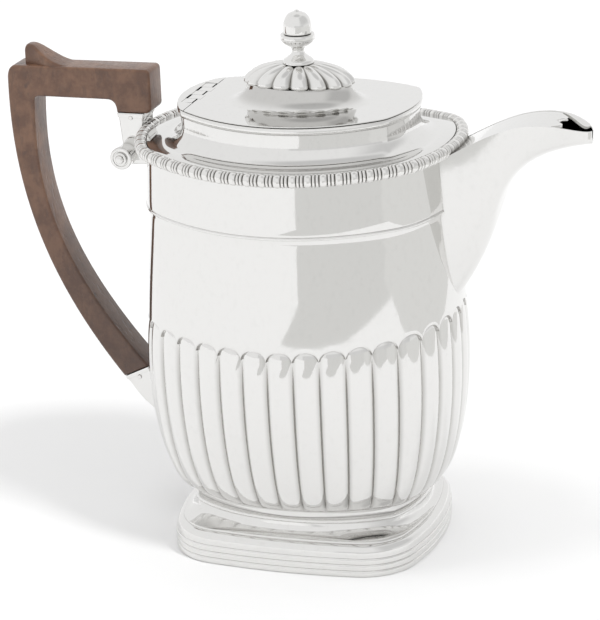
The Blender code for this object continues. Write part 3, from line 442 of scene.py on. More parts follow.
class Dresser:
    """Node tree of one material, with the few calls that finishes need."""

    def __init__(self, name: str) -> None:
        """Start a material with nothing but its shader.

        Args:
            name: The material's name.
        """
        self.material = bpy.data.materials.new(name)
        self.material.use_nodes = True
        self.tree = self.material.node_tree
        self.shader = self.tree.nodes["Principled BSDF"]
        self.place = self.node("ShaderNodeTexCoord").outputs["Object"]

    def node(self, kind: str, **values: object) -> bpy.types.Node:
        """Add a node.

        Args:
            kind: Its type.
            values: Properties of the node, or unlinked inputs by name with spaces as underscores.

        Returns:
            The node.
        """
        made = self.tree.nodes.new(kind)
        for key, value in values.items():
            if hasattr(made, key):
                setattr(made, key, value)
            else:
                made.inputs[key.replace("_", " ")].default_value = value
        return made

    def link(self, output: Socket, target: Socket) -> None:
        """Join two sockets."""
        self.tree.links.new(output, target)

    def noise(self, stretch: Spot, detail: float = 3.0, roughness: float = 0.5) -> Socket:
        """Noise in the piece's own space.

        Args:
            stretch: Repeats a metre along X, Y and Z.
            detail: How many finer layers it has.
            roughness: How strong the finer layers are.

        Returns:
            The noise's value.
        """
        mapping = self.node("ShaderNodeMapping")
        mapping.inputs["Scale"].default_value = stretch
        self.link(self.place, mapping.inputs["Vector"])
        made = self.node("ShaderNodeTexNoise", Scale=1.0, Detail=detail, Roughness=roughness)
        self.link(mapping.outputs["Vector"], made.inputs["Vector"])
        return made.outputs["Fac"]

    def span(self, value: Socket, source: Spot, target: Spot) -> Socket:
        """Map a value from one range to another, clamped.

        Args:
            value: What is mapped.
            source: Range it comes from.
            target: Range it goes to.

        Returns:
            The mapped value.
        """
        made = self.node("ShaderNodeMapRange")
        self.link(value, made.inputs["Value"])
        for key, number in zip(("From Min", "From Max", "To Min", "To Max"), (*source, *target)):
            made.inputs[key].default_value = number
        return made.outputs["Result"]

    def sum(self, first: Socket, second: Socket) -> Socket:
        """Add two values, up to 1.

        Args:
            first: One value.
            second: The other value.

        Returns:
            Their sum.
        """
        made = self.node("ShaderNodeMath", operation="ADD", use_clamp=True)
        self.link(first, made.inputs[0])
        self.link(second, made.inputs[1])
        return made.outputs[0]

    def blend(self, share: Socket, first: Socket | Triple, second: Socket | Triple) -> Socket:
        """Mix two colours.

        Args:
            share: How much of the second colour shows.
            first: Colour, or a socket that gives one.
            second: Colour, or a socket that gives one.

        Returns:
            The mixed colour.
        """
        made = self.node("ShaderNodeMix", data_type="RGBA")
        self.link(share, made.inputs[0])
        for index, colour in ((6, first), (7, second)):
            if isinstance(colour, Socket):
                self.link(colour, made.inputs[index])
            else:
                made.inputs[index].default_value = (*colour, 1.0)
        return made.outputs[2]

    def relief(self, height: Socket, depth: float, under: Socket | None = None) -> Socket:
        """Bump the surface.

        Args:
            height: Height from 0 to 1.
            depth: Real height of 1, in metres.
            under: Normal that the bump lies on.

        Returns:
            The bumped normal.
        """
        made = self.node("ShaderNodeBump", Strength=1.0, Distance=depth)
        self.link(height, made.inputs["Height"])
        if under is not None:
            self.link(under, made.inputs["Normal"])
        return made.outputs["Normal"]


@dataclass(frozen=True)
class SilverFinish:
    """Polished silver: bright, a little uneven and worn fine, with painted shade in its crevices."""

    name: str
    slot: Slot
    tint: Triple
    # The second colour is what the fine wear and the painted shade in crevices both blend toward; crevice is
    # how strong that painted shade gets.
    tarnish_and_shade: Triple
    gloss: tuple[float, float]
    wobble: float
    crevice: float
    wave_repeats: Triple = (55.0, 55.0, 40.0)
    wear_repeats: Triple = (420.0, 420.0, 300.0)
    swirl_repeats: Triple = (2600.0, 500.0, 900.0)
    swirl_depth: float = 0.0012 * MM
    crevice_width: float = 2.2 * MM
    crevice_span: tuple[float, float] = (0.25, 0.8)
    wear_dulling: float = 0.08
    wear_span: tuple[float, float] = (0.25, 0.75)
    dull_span: tuple[float, float] = (0.52, 0.8)

    def material(self) -> bpy.types.Material:
        """Make the finish, or give it again.

        Returns:
            The material.
        """
        found = bpy.data.materials.get(self.name)
        if found:
            return found
        kit = Dresser(self.name)
        kit.shader.inputs["Metallic"].default_value = 1.0
        wave = kit.noise(self.wave_repeats, 1.5)
        wear = kit.noise(self.wear_repeats, 6.0, 0.65)
        swirl = kit.noise(self.swirl_repeats, 3.0)
        marked = kit.node("ShaderNodeAttribute", attribute_name="hollow").outputs["Fac"]
        # Painted shade: ambient occlusion and the hollow attribute darken the colour in crevices, and the
        # wear noise adds real dulling on top.
        shade = kit.node("ShaderNodeAmbientOcclusion", samples=6, Distance=self.crevice_width)
        ao_shade = kit.span(shade.outputs["AO"], self.crevice_span, (self.crevice, 0.0))
        deep = kit.span(marked, (0.0, 1.0), (0.0, self.crevice))
        worn = kit.span(wear, self.dull_span, (0.0, self.wear_dulling))
        shade_and_wear = kit.sum(kit.sum(ao_shade, deep), worn)
        kit.link(kit.blend(shade_and_wear, self.tint, self.tarnish_and_shade), kit.shader.inputs["Base Color"])
        kit.link(kit.span(wear, self.wear_span, self.gloss), kit.shader.inputs["Roughness"])
        uneven = kit.relief(wave, self.wobble)
        kit.link(kit.relief(swirl, self.swirl_depth, uneven), kit.shader.inputs["Normal"])
        return kit.material


@dataclass(frozen=True)
class WoodFinish:
    """Oiled hardwood: warm streaks, short dark pores and a satin surface, with painted shade darkening it
    toward its bottom.
    """

    name: str = "oiled_hardwood"
    slot: Slot = Slot.WOOD
    pale: Triple = (0.174, 0.089, 0.051)
    warm: Triple = (0.104, 0.049, 0.028)
    dark: Triple = (0.050, 0.029, 0.023)
    # Painted shade: between these two heights, and by the share further down, the wood darkens toward its
    # bottom.
    shade_low: float = 60.0 * MM
    shade_high: float = 160.0 * MM
    cloud_repeats: Triple = (120.0, 120.0, 120.0)
    fibre_repeats: Triple = (900.0, 900.0, 80.0)
    pore_repeats: Triple = (520.0, 520.0, 210.0)
    knot_repeats: Triple = (165.0, 165.0, 130.0)
    fibre_depth: float = 0.05 * MM
    pore_depth: float = 0.08 * MM
    cloud_span: tuple[float, float] = (0.40, 0.60)
    fibre_span: tuple[float, float] = (0.3, 0.7)
    pore_span: tuple[float, float] = (0.57, 0.68)
    knot_span: tuple[float, float] = (0.71, 0.77)
    shade_share: float = 0.6
    fibre_share: float = 0.3
    pore_share: float = 0.22
    knot_share: float = 0.8
    gloss: tuple[float, float] = (0.30, 0.46)
    coat: float = 0.3
    coat_roughness: float = 0.25

    def material(self) -> bpy.types.Material:
        """Make the finish, or give it again.

        Returns:
            The material.
        """
        found = bpy.data.materials.get(self.name)
        if found:
            return found
        kit = Dresser(self.name)
        cloud = kit.noise(self.cloud_repeats, 5.0, 0.68)
        fibre = kit.noise(self.fibre_repeats, 4.0, 0.6)
        pore = kit.noise(self.pore_repeats, 2.0, 0.4)
        knot = kit.noise(self.knot_repeats, 1.0, 0.3)
        split = kit.node("ShaderNodeSeparateXYZ")
        kit.link(kit.place, split.inputs[0])
        # Painted shade, darker toward the bottom of the handle.
        low_shade = kit.span(split.outputs["Z"], (self.shade_low, self.shade_high), (self.shade_share, 0.0))
        fleck = kit.span(pore, self.pore_span, (0.0, self.pore_share))
        mark = kit.span(knot, self.knot_span, (0.0, self.knot_share))
        ground = kit.blend(kit.span(cloud, self.cloud_span, (0.0, 1.0)), self.warm, self.pale)
        grained = kit.blend(kit.span(fibre, self.fibre_span, (0.0, self.fibre_share)), ground, self.warm)
        shaded = kit.blend(low_shade, grained, self.dark)
        spotted = kit.blend(kit.sum(fleck, mark), shaded, self.dark)
        kit.link(spotted, kit.shader.inputs["Base Color"])
        kit.link(kit.span(fibre, self.fibre_span, self.gloss), kit.shader.inputs["Roughness"])
        kit.shader.inputs["Coat Weight"].default_value = self.coat
        kit.shader.inputs["Coat Roughness"].default_value = self.coat_roughness
        rough = kit.relief(fibre, self.fibre_depth)
        pits = kit.span(fleck, (0.0, self.pore_share), (1.0, 0.0))
        kit.link(kit.relief(pits, self.pore_depth, rough), kit.shader.inputs["Normal"])
        return kit.material


SHEET_SILVER = SilverFinish(
    "sheet_silver", Slot.SHEET, (0.785, 0.780, 0.768), (0.33, 0.32, 0.30), (0.03, 0.08), 0.05 * MM, 0.5
)
CAST_SILVER = SilverFinish(
    "cast_silver", Slot.CAST, (0.800, 0.793, 0.778), (0.20, 0.19, 0.175), (0.06, 0.13), 0.02 * MM, 0.75
)
CHASED_SILVER = SilverFinish(
    "chased_silver", Slot.CAST, (0.800, 0.795, 0.782), (0.28, 0.27, 0.25), (0.04, 0.10), 0.02 * MM, 0.36
)
REEDED_SILVER = SilverFinish(
    "reeded_silver", Slot.CAST, (0.790, 0.785, 0.772), (0.40, 0.39, 0.37), (0.04, 0.10), 0.03 * MM, 0.25
)
FITTING_SILVER = SilverFinish(
    "fitting_silver", Slot.FITTINGS, (0.77, 0.76, 0.745), (0.22, 0.21, 0.195), (0.07, 0.15), 0.02 * MM, 0.85
)
HANDLE_WOOD = WoodFinish()


def dress(piece: Piece, finish: SilverFinish | WoodFinish, rider: Rider, *nodes: str) -> None:
    """Finish a piece, let it ride on its body and stand for the nodes of the model.

    Args:
        piece: The piece.
        finish: Its finish.
        rider: The body it moves with.
        nodes: Nodes that it stands for.
    """
    piece.data.materials.clear()
    piece.data.materials.append(finish.material())
    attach(piece, rider.value)
    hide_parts(*nodes)
    LOG.info("%s: %d points, stands for %s", piece.name, len(piece.data.vertices), ", ".join(nodes))


def dress_node(node: str, finish: SilverFinish | WoodFinish) -> None:
    """Finish a node of the model that shows as it is.

    Args:
        node: The node's name.
        finish: Its finish.
    """
    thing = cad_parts[node]
    thing.data.materials.clear()
    thing.data.materials.append(finish.material())
    LOG.info("%s: kept, with a new finish", node)


@dataclass
class Vessel:
    """Body of the pot: fluted shell, base plate, collar band, border wire, shoulder and rim."""

    belly_offset: float = 25.6 * MM
    shell_bottom: float = 20.3 * MM
    base_low: float = 23.5 * MM
    base_turn: float = 8.6 * MM
    flute_count: int = 36
    flute_columns: int = 18
    flute_top: float = 96.7 * MM
    flute_pitch: float = 10.11 * MM
    flute_crest: float = 0.6 * MM
    flute_depth: float = 1.7 * MM
    lobe_rise: float = 18.0 * MM
    lobe_sink: float = 1.1 * MM
    spout_end_rise: float = 5.5 * MM
    handle_end_rise: float = 1.9 * MM
    chased_depth: float = 0.12 * MM
    line_above: float = 0.45 * MM
    line_below: float = 0.35 * MM
    flute_margin: float = 7.5 * MM
    flute_start: float = 16.0 * MM
    lobe_end: float = 0.66
    lobe_fade: float = 0.2
    # Painted shade in dashes under the lobes' ends: where it lies along the base curve, and how wide it is.
    foot_shade_line: float = 0.865
    foot_shade_width: float = 0.02
    upright_path: tuple[Spot, ...] = ((8.25 * MM, 23.2 * MM), (8.0 * MM, 22.6 * MM), (7.9 * MM, 21.6 * MM))
    flare: float = 0.35 * MM
    flare_height: float = 2.2 * MM
    collar_bead: float = 0.62 * MM
    collar_lean: float = 0.8 * MM
    border_units: int = 64
    border_columns: int = 28
    border_sides: int = 20
    border_waist: float = 0.72
    bead_middle: float = 0.27
    bead_half: float = 0.25
    reel_middles: tuple[float, ...] = (0.645, 0.875)
    reel_half: float = 0.105
    reel_girth: float = 0.97
    cove_reach: float = 7.5 * MM
    strainer_radius: float = 2.3 * MM
    strainer_step: float = 8.0 * MM
    drill_back: float = -8.0 * MM
    drill_front: float = 6.0 * MM
    rim_width: float = 1.0 * MM
    rim_height: float = 3.0 * MM

    def drum_curve(self, count: int) -> Array:
        """Outside of the shell from the collar band down to the belly.

        Args:
            count: How many points.

        Returns:
            Offset and height, one point a row.
        """
        drop = FORM.collar_bottom - FORM.belly_z
        return bend(
            (FORM.shell_offset, FORM.collar_bottom),
            (mix(FORM.shell_offset, self.belly_offset, 0.45), FORM.collar_bottom - 0.32 * drop),
            (mix(FORM.shell_offset, self.belly_offset, 0.98), FORM.belly_z + 0.4 * drop),
            (self.belly_offset, FORM.belly_z),
            count,
        )

    def base_curve(self, count: int) -> Array:
        """Outside of the shell from the belly round to its upright over the foot.

        Args:
            count: How many points.

        Returns:
            Offset and height, one point a row.
        """
        return bend(
            (self.belly_offset, FORM.belly_z),
            (self.belly_offset, mix(FORM.belly_z, self.base_low, 0.587)),
            (mix(self.base_turn, self.belly_offset, 0.553), self.base_low),
            (self.base_turn, self.base_low),
            count,
        )

    def wall(self, z: Array | float) -> Array:
        """How far the plain outside stands out from the core at a height."""
        path = np.vstack([self.drum_curve(200), self.base_curve(200)[1:]])[::-1]
        return np.interp(z, path[:, 1], path[:, 0])

    def shell(self) -> Piece:
        """Raised shell: plain drum, arched lobes below it and a rounded base.

        Returns:
            The shell.
        """
        step = np.arange(self.flute_columns) / self.flute_columns
        across = np.tile(-np.cos(math.pi * step), self.flute_count)
        flute = np.repeat(np.arange(self.flute_count), self.flute_columns)
        facing = FORM.facing((flute + (across + 1) / 2) / self.flute_count)
        bulge = arched(across, 0.93)
        swell = self.flute_crest - self.flute_depth * bulge
        groove = eased((np.abs(across) - 0.64) / 0.36)
        end = (FORM.ring(facing, self.belly_offset, 0.0)[:, 0] - FORM.body_x) / FORM.half_length
        arch = self.flute_top + np.where(end > 0, self.spout_end_rise, self.handle_end_rise) * end**2
        arch = arch - self.flute_pitch / 2 * (1 - np.sqrt(1 - (0.985 * across) ** 2))
        rings, hollows = [], []

        def add(offset: Array | float, z: Array | float, hollow: Array | float = 0.0) -> None:
            """Add one ring of the shell, and how far its points lie in crevices, where painted shade goes."""
            rings.append(FORM.ring(facing, offset, z))
            hollows.append(np.broadcast_to(hollow, facing.shape))

        margin = self.flute_top + self.flute_margin
        add(FORM.shell_offset, FORM.body_top)
        add(FORM.shell_offset, FORM.collar_bottom)
        for z in np.linspace(FORM.collar_bottom - 0.15 * MM, FORM.collar_bottom - self.flare_height, 6):
            add(self.wall(z) + self.flare * eased(1 - (FORM.collar_bottom - z) / self.flare_height), z)
        for z in np.linspace(FORM.collar_bottom - 5.0 * MM, margin, 14):
            add(self.wall(z), z)
        for share in (0.3, 0.55, 0.75, 0.88, 0.95, 0.985):
            z = mix(margin, arch, share)
            # Painted shade along the chased outline, strongest where neighbouring arches meet.
            line = np.exp(-(((z - arch) / self.line_above) ** 2))
            add(self.wall(z) - self.chased_depth * line, z, line * across**2)
        level = self.flute_top - self.flute_start
        for share in (0.0, 0.01, 0.025, 0.045, 0.07, 0.1, 0.14, 0.19, 0.25, 0.33, 0.45, 0.7, 1.0):
            z = mix(arch, level, share)
            below = arch - z
            line = np.exp(-((below / self.line_below) ** 2))
            raised = dome(below / self.lobe_rise)
            sunk = self.lobe_sink * (1 - raised) * eased(below / (0.25 * MM))
            # Painted shade: dark along the chased outline at the arches' meeting points and down the grooves
            # between lobes.
            dark = np.maximum(line * across**2, raised * groove)
            add(self.wall(z) + raised * swell - sunk - self.chased_depth * line, z, dark)
        base = self.base_curve(40)
        for index, (offset, z) in enumerate(base[1:], 1):
            along = index / (len(base) - 1)
            raised = math.sqrt(max(0.0, 1 - max(0.0, (along - self.lobe_end) / self.lobe_fade) ** 2))
            # Painted shade: dark dashes under the lobes' ends where the shell turns in toward the foot, and
            # down the grooves.
            dash = math.exp(-(((along - self.foot_shade_line) / self.foot_shade_width) ** 2))
            foot = dash * np.abs(across) ** 3
            add(offset + raised * swell, z, np.maximum(raised * groove, foot))
        for offset, z in self.upright_path:
            add(offset, z)
        add(self.upright_path[-1][0], self.shell_bottom)
        add(FORM.base_offset, self.shell_bottom)
        thick = FORM.sheet + self.flute_depth - self.flute_crest
        inner = inset_path(self.base_curve(14), thick)[::-1]
        inner[0] = (FORM.base_offset, self.base_low + thick)
        for offset, z in inner:
            add(offset, z)
        for z in np.linspace(FORM.belly_z, self.flute_top, 4)[1:]:
            add(self.wall(z) - thick, z)
        for z in np.linspace(self.flute_top, FORM.body_top, 6)[1:]:
            add(FORM.shell_offset - FORM.sheet, z)
        shell = Skin().loft(rings, closed=True, hollow=np.array(hollows)).make("body_shell_fine", 50.0)
        carve(shell, self.drills(), Cut.AWAY, 50.0)
        return shell

    def drills(self) -> Piece:
        """Drills for the strainer behind the spout, three by three, for cutting.

        Returns:
            The drills.
        """
        radius, step = self.strainer_radius, self.strainer_step
        back, front = self.drill_back, self.drill_front
        profile = [(0, back), (radius, back), (radius, front), (0, front)]
        axis = Matrix.Translation((FORM.body_x + FORM.half_length, 0.0, 0.0))
        holes = Skin()
        for row in range(3):
            for column in (-1, 0, 1):
                spot = Vector((0.0, column * step, FORM.collar_bottom - (row + 0.5) * step))
                turned = axis @ Matrix.Translation(spot) @ Matrix.Rotation(math.pi / 2, 4, "Y")
                holes.turned(profile, turned, 24)
        return holes.make("drills")

    def collar(self) -> Piece:
        """Plain band round the top of the shell with a small bead along its lower edge.

        Returns:
            The collar band.
        """
        inside, outside = FORM.shell_offset + 0.05 * MM, FORM.corner_round
        low, top = FORM.collar_bottom, FORM.border_z - FORM.border_radius - FORM.fit
        bead, lean = self.collar_bead, self.collar_lean
        path = [(inside, top), (inside, low + 0.1 * MM)]
        path += bow((outside - 0.35 * MM, low + bead), (bead, bead), -100, 70, 11).tolist()
        path += [(outside - 0.16 * MM, low + 2.1 * bead), (outside - 0.04 * MM, low + 2.35 * bead)]
        for share in np.linspace(0.0, 1.0, 7):
            path.append((outside - lean * share, mix(low + 2.8 * bead, top - 0.1 * MM, share)))
        path += [(outside - lean - 0.1 * MM, top)]
        return band(path, "collar_band_fine")

    def border(self) -> Piece:
        """Cast wire of beads, each parted from the next by two narrow reels.

        Returns:
            The wire.
        """
        step = np.arange(self.border_columns) / self.border_columns
        waist, columns = self.border_waist, self.border_units * self.border_columns
        bead = np.sqrt(np.clip(1 - ((step - self.bead_middle) / self.bead_half) ** 2, 0, 1))
        girth = waist + (1 - waist) * bead
        for middle in self.reel_middles:
            reel = np.sqrt(np.clip(1 - ((step - middle) / self.reel_half) ** 2, 0, 1))
            girth = np.maximum(girth, waist + (self.reel_girth - waist) * reel)
        facing = FORM.facing(np.arange(columns) / columns)
        radius = FORM.border_radius * np.tile(girth, self.border_units)
        # Painted shade in the narrow waists between beads and reels.
        sunk = eased((0.90 - np.tile(girth, self.border_units)) / 0.14)
        rings = []
        for side in range(self.border_sides):
            turn = 2 * math.pi * side / self.border_sides
            offset = FORM.border_offset + radius * math.cos(turn)
            rings.append(FORM.ring(facing, offset, FORM.border_z + radius * math.sin(turn)))
        return Skin().loft(rings, closed=True, hollow=sunk).make("border_wire", 60.0)

    def shoulder(self) -> Piece:
        """Flat shoulder, concave sweep and upright neck.

        Returns:
            The shoulder.
        """
        skirt = FORM.shell_offset - FORM.sheet - FORM.fit
        lip = FORM.border_offset - FORM.border_radius - FORM.fit + 0.5 * MM
        flat = FORM.border_z + 0.65 * FORM.border_radius
        neck, reach, sheet = FORM.neck_offset, self.cove_reach, FORM.sheet
        sweep = bend(
            (neck + reach, flat), (neck + 0.45 * reach, flat),
            (neck, flat + 0.45 * reach), (neck, flat + reach), 30,
        )
        path = [(skirt, FORM.body_top - 5 * sheet), (skirt, flat - 2 * sheet), (lip, flat - sheet)]
        path += [(lip, flat - 0.12 * MM), (lip - 0.15 * MM, flat)]
        path += sweep.tolist()
        path += [(neck, z) for z in np.linspace(flat + reach, FORM.neck_top, 5)[1:]]
        path += [(neck - sheet, FORM.neck_top)]
        path += inset_path(sweep, -sheet)[::-1].tolist()
        path += [(skirt - sheet, flat - sheet), (skirt - sheet, FORM.body_top - 5 * sheet)]
        piece = band(path, "shoulder_fine", 45.0)
        carve(piece, Hinge().room(), Cut.AWAY, 45.0)
        return piece

    def rim(self) -> Piece:
        """Half-round wire round the mouth, level with the top of the neck.

        Returns:
            The wire.
        """
        inside, top, half = FORM.neck_offset + FORM.fit, FORM.neck_top, 0.5 * self.rim_height
        path = [(inside, top), (inside, top - self.rim_height)]
        path += bow((inside, top - half), (self.rim_width, half), -80, 80, 15).tolist()
        piece = band(path, "rim_wire", 60.0)
        carve(piece, Hinge().room(), Cut.AWAY, 60.0)
        return piece

    def build(self) -> None:
        """Make and finish every piece of the body."""
        dress(self.shell(), SHEET_SILVER, Rider.POT, "body_shell")
        dress(self.collar(), SHEET_SILVER, Rider.POT, "collar_band")
        dress(self.border(), CAST_SILVER, Rider.POT, "gadroon_border")
        dress(self.shoulder(), SHEET_SILVER, Rider.POT, "shoulder")
        dress(self.rim(), CHASED_SILVER, Rider.POT, "lid_seat_rim")
        dress_node("base_plate", SHEET_SILVER)


@dataclass
class Foot:
    """Moulded foot: hollow spread and reeded rim."""

    rim_height: float = 7.9 * MM
    rim_thick: float = 3.1 * MM
    reed_depth: float = 0.5 * MM
    reed_count: int = 3

    def spread(self) -> Piece:
        """Flange under the base, fillet, cove and ovolo, hollow below.

        Returns:
            The spread of the foot.
        """
        reach = FORM.foot_reach
        top = FORM.half_length - FORM.corner_round + FORM.base_offset
        low = self.rim_height + 0.03 * MM
        tall = FORM.foot_top - low
        ledge = mix(reach, top, 0.46)
        path = [(top, FORM.foot_top + 0.25 * MM, 0.0), (top + 0.4 * MM, FORM.foot_top + 0.25 * MM, 0.0)]
        bead = bow((top + 0.7 * MM, FORM.foot_top - 0.85 * MM), (1.05 * MM, 0.95 * MM), 80, -50, 9)
        path += [(x, z, 0.15) for x, z in bead]
        cove = bend(
            (mix(reach, top, 0.85), low + 0.82 * tall), (mix(reach, top, 0.84), low + 0.6 * tall),
            (mix(reach, top, 0.72), low + 0.49 * tall), (ledge, low + 0.48 * tall), 14,
        )
        path += [(x, z, mix(0.25, 1.0, eased(index / 13))) for index, (x, z) in enumerate(cove)]
        path += [(ledge + 0.1 * MM, low + 0.47 * tall, 1.0), (ledge + 0.12 * MM, low + 0.44 * tall, 1.0)]
        ovolo = bend(
            (ledge + 0.15 * MM, low + 0.43 * tall), (mix(reach, top, 0.2), low + 0.43 * tall),
            (reach - 0.3 * self.reed_depth, low + 0.28 * tall), (reach - self.reed_depth, low), 14,
        )
        path += [(x, z, 1.0) for x, z in ovolo]
        path += [
            (reach - self.reed_depth - FORM.sheet, low, 1.0),
            (reach - self.reed_depth - 2 * FORM.sheet, low + 0.25 * tall, 1.0),
            (top - FORM.sheet, low + 0.55 * tall, 0.6),
            (top - 2 * FORM.sheet, FORM.foot_top - FORM.sheet, 0.1),
            (top - 4 * FORM.sheet, FORM.foot_top - FORM.sheet, 0.0),
            (top - 4 * FORM.sheet, FORM.foot_top, 0.0),
        ]
        rings = [FORM.foot_ring(EVEN, *spot) for spot in path]
        return Skin().loft(rings, closed=True).make("foot_spread_fine")

    def rim(self) -> Piece:
        """Wire of three half-round reeds that the pot stands on.

        Returns:
            The wire.
        """
        reach, step = FORM.foot_reach, self.rim_height / self.reed_count
        path, sunk = [], []
        for reed in range(self.reed_count):
            middle = (reach - self.reed_depth, (reed + 0.5) * step)
            path += bow(middle, (self.reed_depth, 0.5 * step), -88, 88, 11).tolist()
            # Painted shade where neighbouring reeds meet.
            sunk += (0.6 * np.clip(np.abs(np.linspace(-1, 1, 11)) * 4 - 3, 0, 1)).tolist()
        path += [(reach - self.rim_thick, self.rim_height), (reach - self.rim_thick, 0.0)]
        path[0] = (path[0][0], 0.0)
        hollow = np.repeat(np.array(sunk + [0.0, 0.0])[:, None], ROUND, 1)
        rings = [FORM.foot_ring(EVEN, x, z, 1.0) for x, z in path]
        return Skin().loft(rings, closed=True, hollow=hollow).make("foot_rim_fine", 50.0)

    def build(self) -> None:
        """Make and finish both pieces of the foot."""
        dress(self.spread(), SHEET_SILVER, Rider.POT, "foot_spread")
        dress(self.rim(), REEDED_SILVER, Rider.POT, "foot_rim")


@dataclass
class Spout:
    """Curved spout: an open channel with a flat top let in."""

    reach: float = 55.4 * MM
    root_width: float = 27.4 * MM
    lip_width: float = 23.4 * MM
    peak: float = 17.7 * MM
    root_z: float = 101.0 * MM
    sink: float = 3.0 * MM
    nose: float = 14.2 * MM
    slide: float = 0.12 * MM
    side_lean: float = 0.22
    brace_end: float = 0.80
    brace_wave: float = 0.03
    plate_sink: float = 0.12 * MM
    sections: int = 72
    line_points: int = 600

    def top_line(self, count: int) -> Array:
        """Line of the flat top, in the XZ plane, from inside the body to the lip.

        Args:
            count: How many points.

        Returns:
            X and Z, one point a row.
        """
        root, tip = FORM.half_length - self.sink, FORM.half_length + self.reach
        return bend(
            (root, FORM.body_top + 0.1 * self.peak),
            (mix(root, tip, 0.38), FORM.body_top + 0.81 * self.peak),
            (mix(root, tip, 0.62), FORM.body_top + 1.29 * self.peak),
            (tip, FORM.body_top + 0.75 * self.peak),
            count,
        )

    def keel_line(self, count: int) -> Array:
        """Line of the underside, in two sweeps, from inside the body to the lip.

        Args:
            count: How many points.

        Returns:
            X and Z, one point a row.
        """
        root = np.array((FORM.half_length - self.sink, self.root_z))
        size = np.array((self.reach + self.sink, FORM.body_top + 0.7 * self.peak - self.root_z))
        shares = [(0.0, 0.0), (0.206, 0.213), (0.297, 0.377), (0.352, 0.526)]
        shares += [(0.42, 0.713), (0.5, 0.895), (1.0, 0.945)]
        knots = [root + size * share for share in shares]
        half = count // 2
        return np.vstack([bend(*knots[:4], half + 1)[:-1], bend(*knots[3:], count - half)])

    def half_width(self, x: Array) -> Array:
        """Half the width: it tapers to the lip and closes there in a rounded nose.

        Args:
            x: Distances from the middle of the body.

        Returns:
            Half the width at each.
        """
        root, tip = FORM.half_length, FORM.half_length + self.reach
        width = mix(self.root_width, self.lip_width, (x - root) / (tip - self.nose - root))
        ahead = np.maximum(0.0, (x - tip + self.nose) / self.nose)
        return width / 2 * np.sqrt(np.maximum(0.03, 1 - ahead**2))

    def section(self, top: Array, keel: Array, half_width: float) -> Array:
        """Half-pipe section: straight sides from the top, then a rounded underside.

        Args:
            top: Middle of its open top, in the XZ plane.
            keel: Its lowest point, in the XZ plane.
            half_width: Half its width at the top.

        Returns:
            Points from the near edge round to the far edge.
        """
        turn = np.radians(np.linspace(0, 90, 13))[1:]
        level = np.concatenate([[0.0, 0.02, 0.2, 0.4, 0.55], 0.55 + 0.45 * np.sin(turn)])
        width = np.concatenate([np.ones(5), np.cos(turn)]) * (1 - self.side_lean * level) * half_width
        level = np.concatenate([level, level[-2::-1]])
        width = np.concatenate([-width, width[-2::-1]])
        spots = top + (keel - top) * level[:, None]
        return np.stack([spots[:, 0] + FORM.body_x, width, spots[:, 1]], 1)

    def channel(self) -> Piece:
        """The channel, outside and inside, with a narrow edge along its top.

        Returns:
            The channel.
        """
        share = 1 - (1 - np.linspace(0.0, 1.0, self.sections)) ** 1.5
        fine = np.linspace(0.0, 1.0, self.line_points)
        tops = np.stack([np.interp(share, fine, line) for line in self.top_line(self.line_points).T], 1)
        keels = np.stack([np.interp(share, fine, line) for line in self.keel_line(self.line_points).T], 1)
        floors = inset_path(keels, -FORM.sheet)
        rings = []
        for top, keel, floor in zip(tops, keels, floors):
            half = float(self.half_width(top[0]))
            depth = float(np.linalg.norm(keel - top))
            inner = mix(keel, top, 0.5) if depth < 3 * FORM.sheet else floor
            outside = self.section(top, keel, half)
            inside = self.section(top, inner, max(half - FORM.sheet, 0.3 * half))
            rings.append(np.vstack([outside, inside[::-1]]))
        return Skin().loft(rings).make("spout_fine", 45.0)

    def top_plate(self) -> Piece:
        """Flat top between the sides, its end cut to a brace.

        Returns:
            The plate.
        """
        across = np.linspace(-1.0, 1.0, 41)
        brace = self.brace_end - self.brace_wave * np.cos(2 * math.pi * across)
        fine = np.linspace(0.0, 1.0, self.line_points)
        line = self.top_line(self.line_points)
        rings = []
        for share in np.linspace(0.0, 1.0, 44):
            x = np.interp(share * brace, fine, line[:, 0])
            z = np.interp(share * brace, fine, line[:, 1]) - self.plate_sink
            y = across * (self.half_width(x) - FORM.sheet - self.slide)
            over = np.stack([x + FORM.body_x, y, z], 1)
            under = np.stack([x + FORM.body_x, y, z - 0.9 * FORM.sheet], 1)
            rings.append(np.vstack([over, under[::-1]]))
        return Skin().loft(rings).make("spout_top_fine", 45.0)

    def build(self) -> None:
        """Make and finish both pieces of the spout."""
        dress(self.channel(), SHEET_SILVER, Rider.POT, "spout_body")
        dress(self.top_plate(), SHEET_SILVER, Rider.POT, "spout_top_plate")


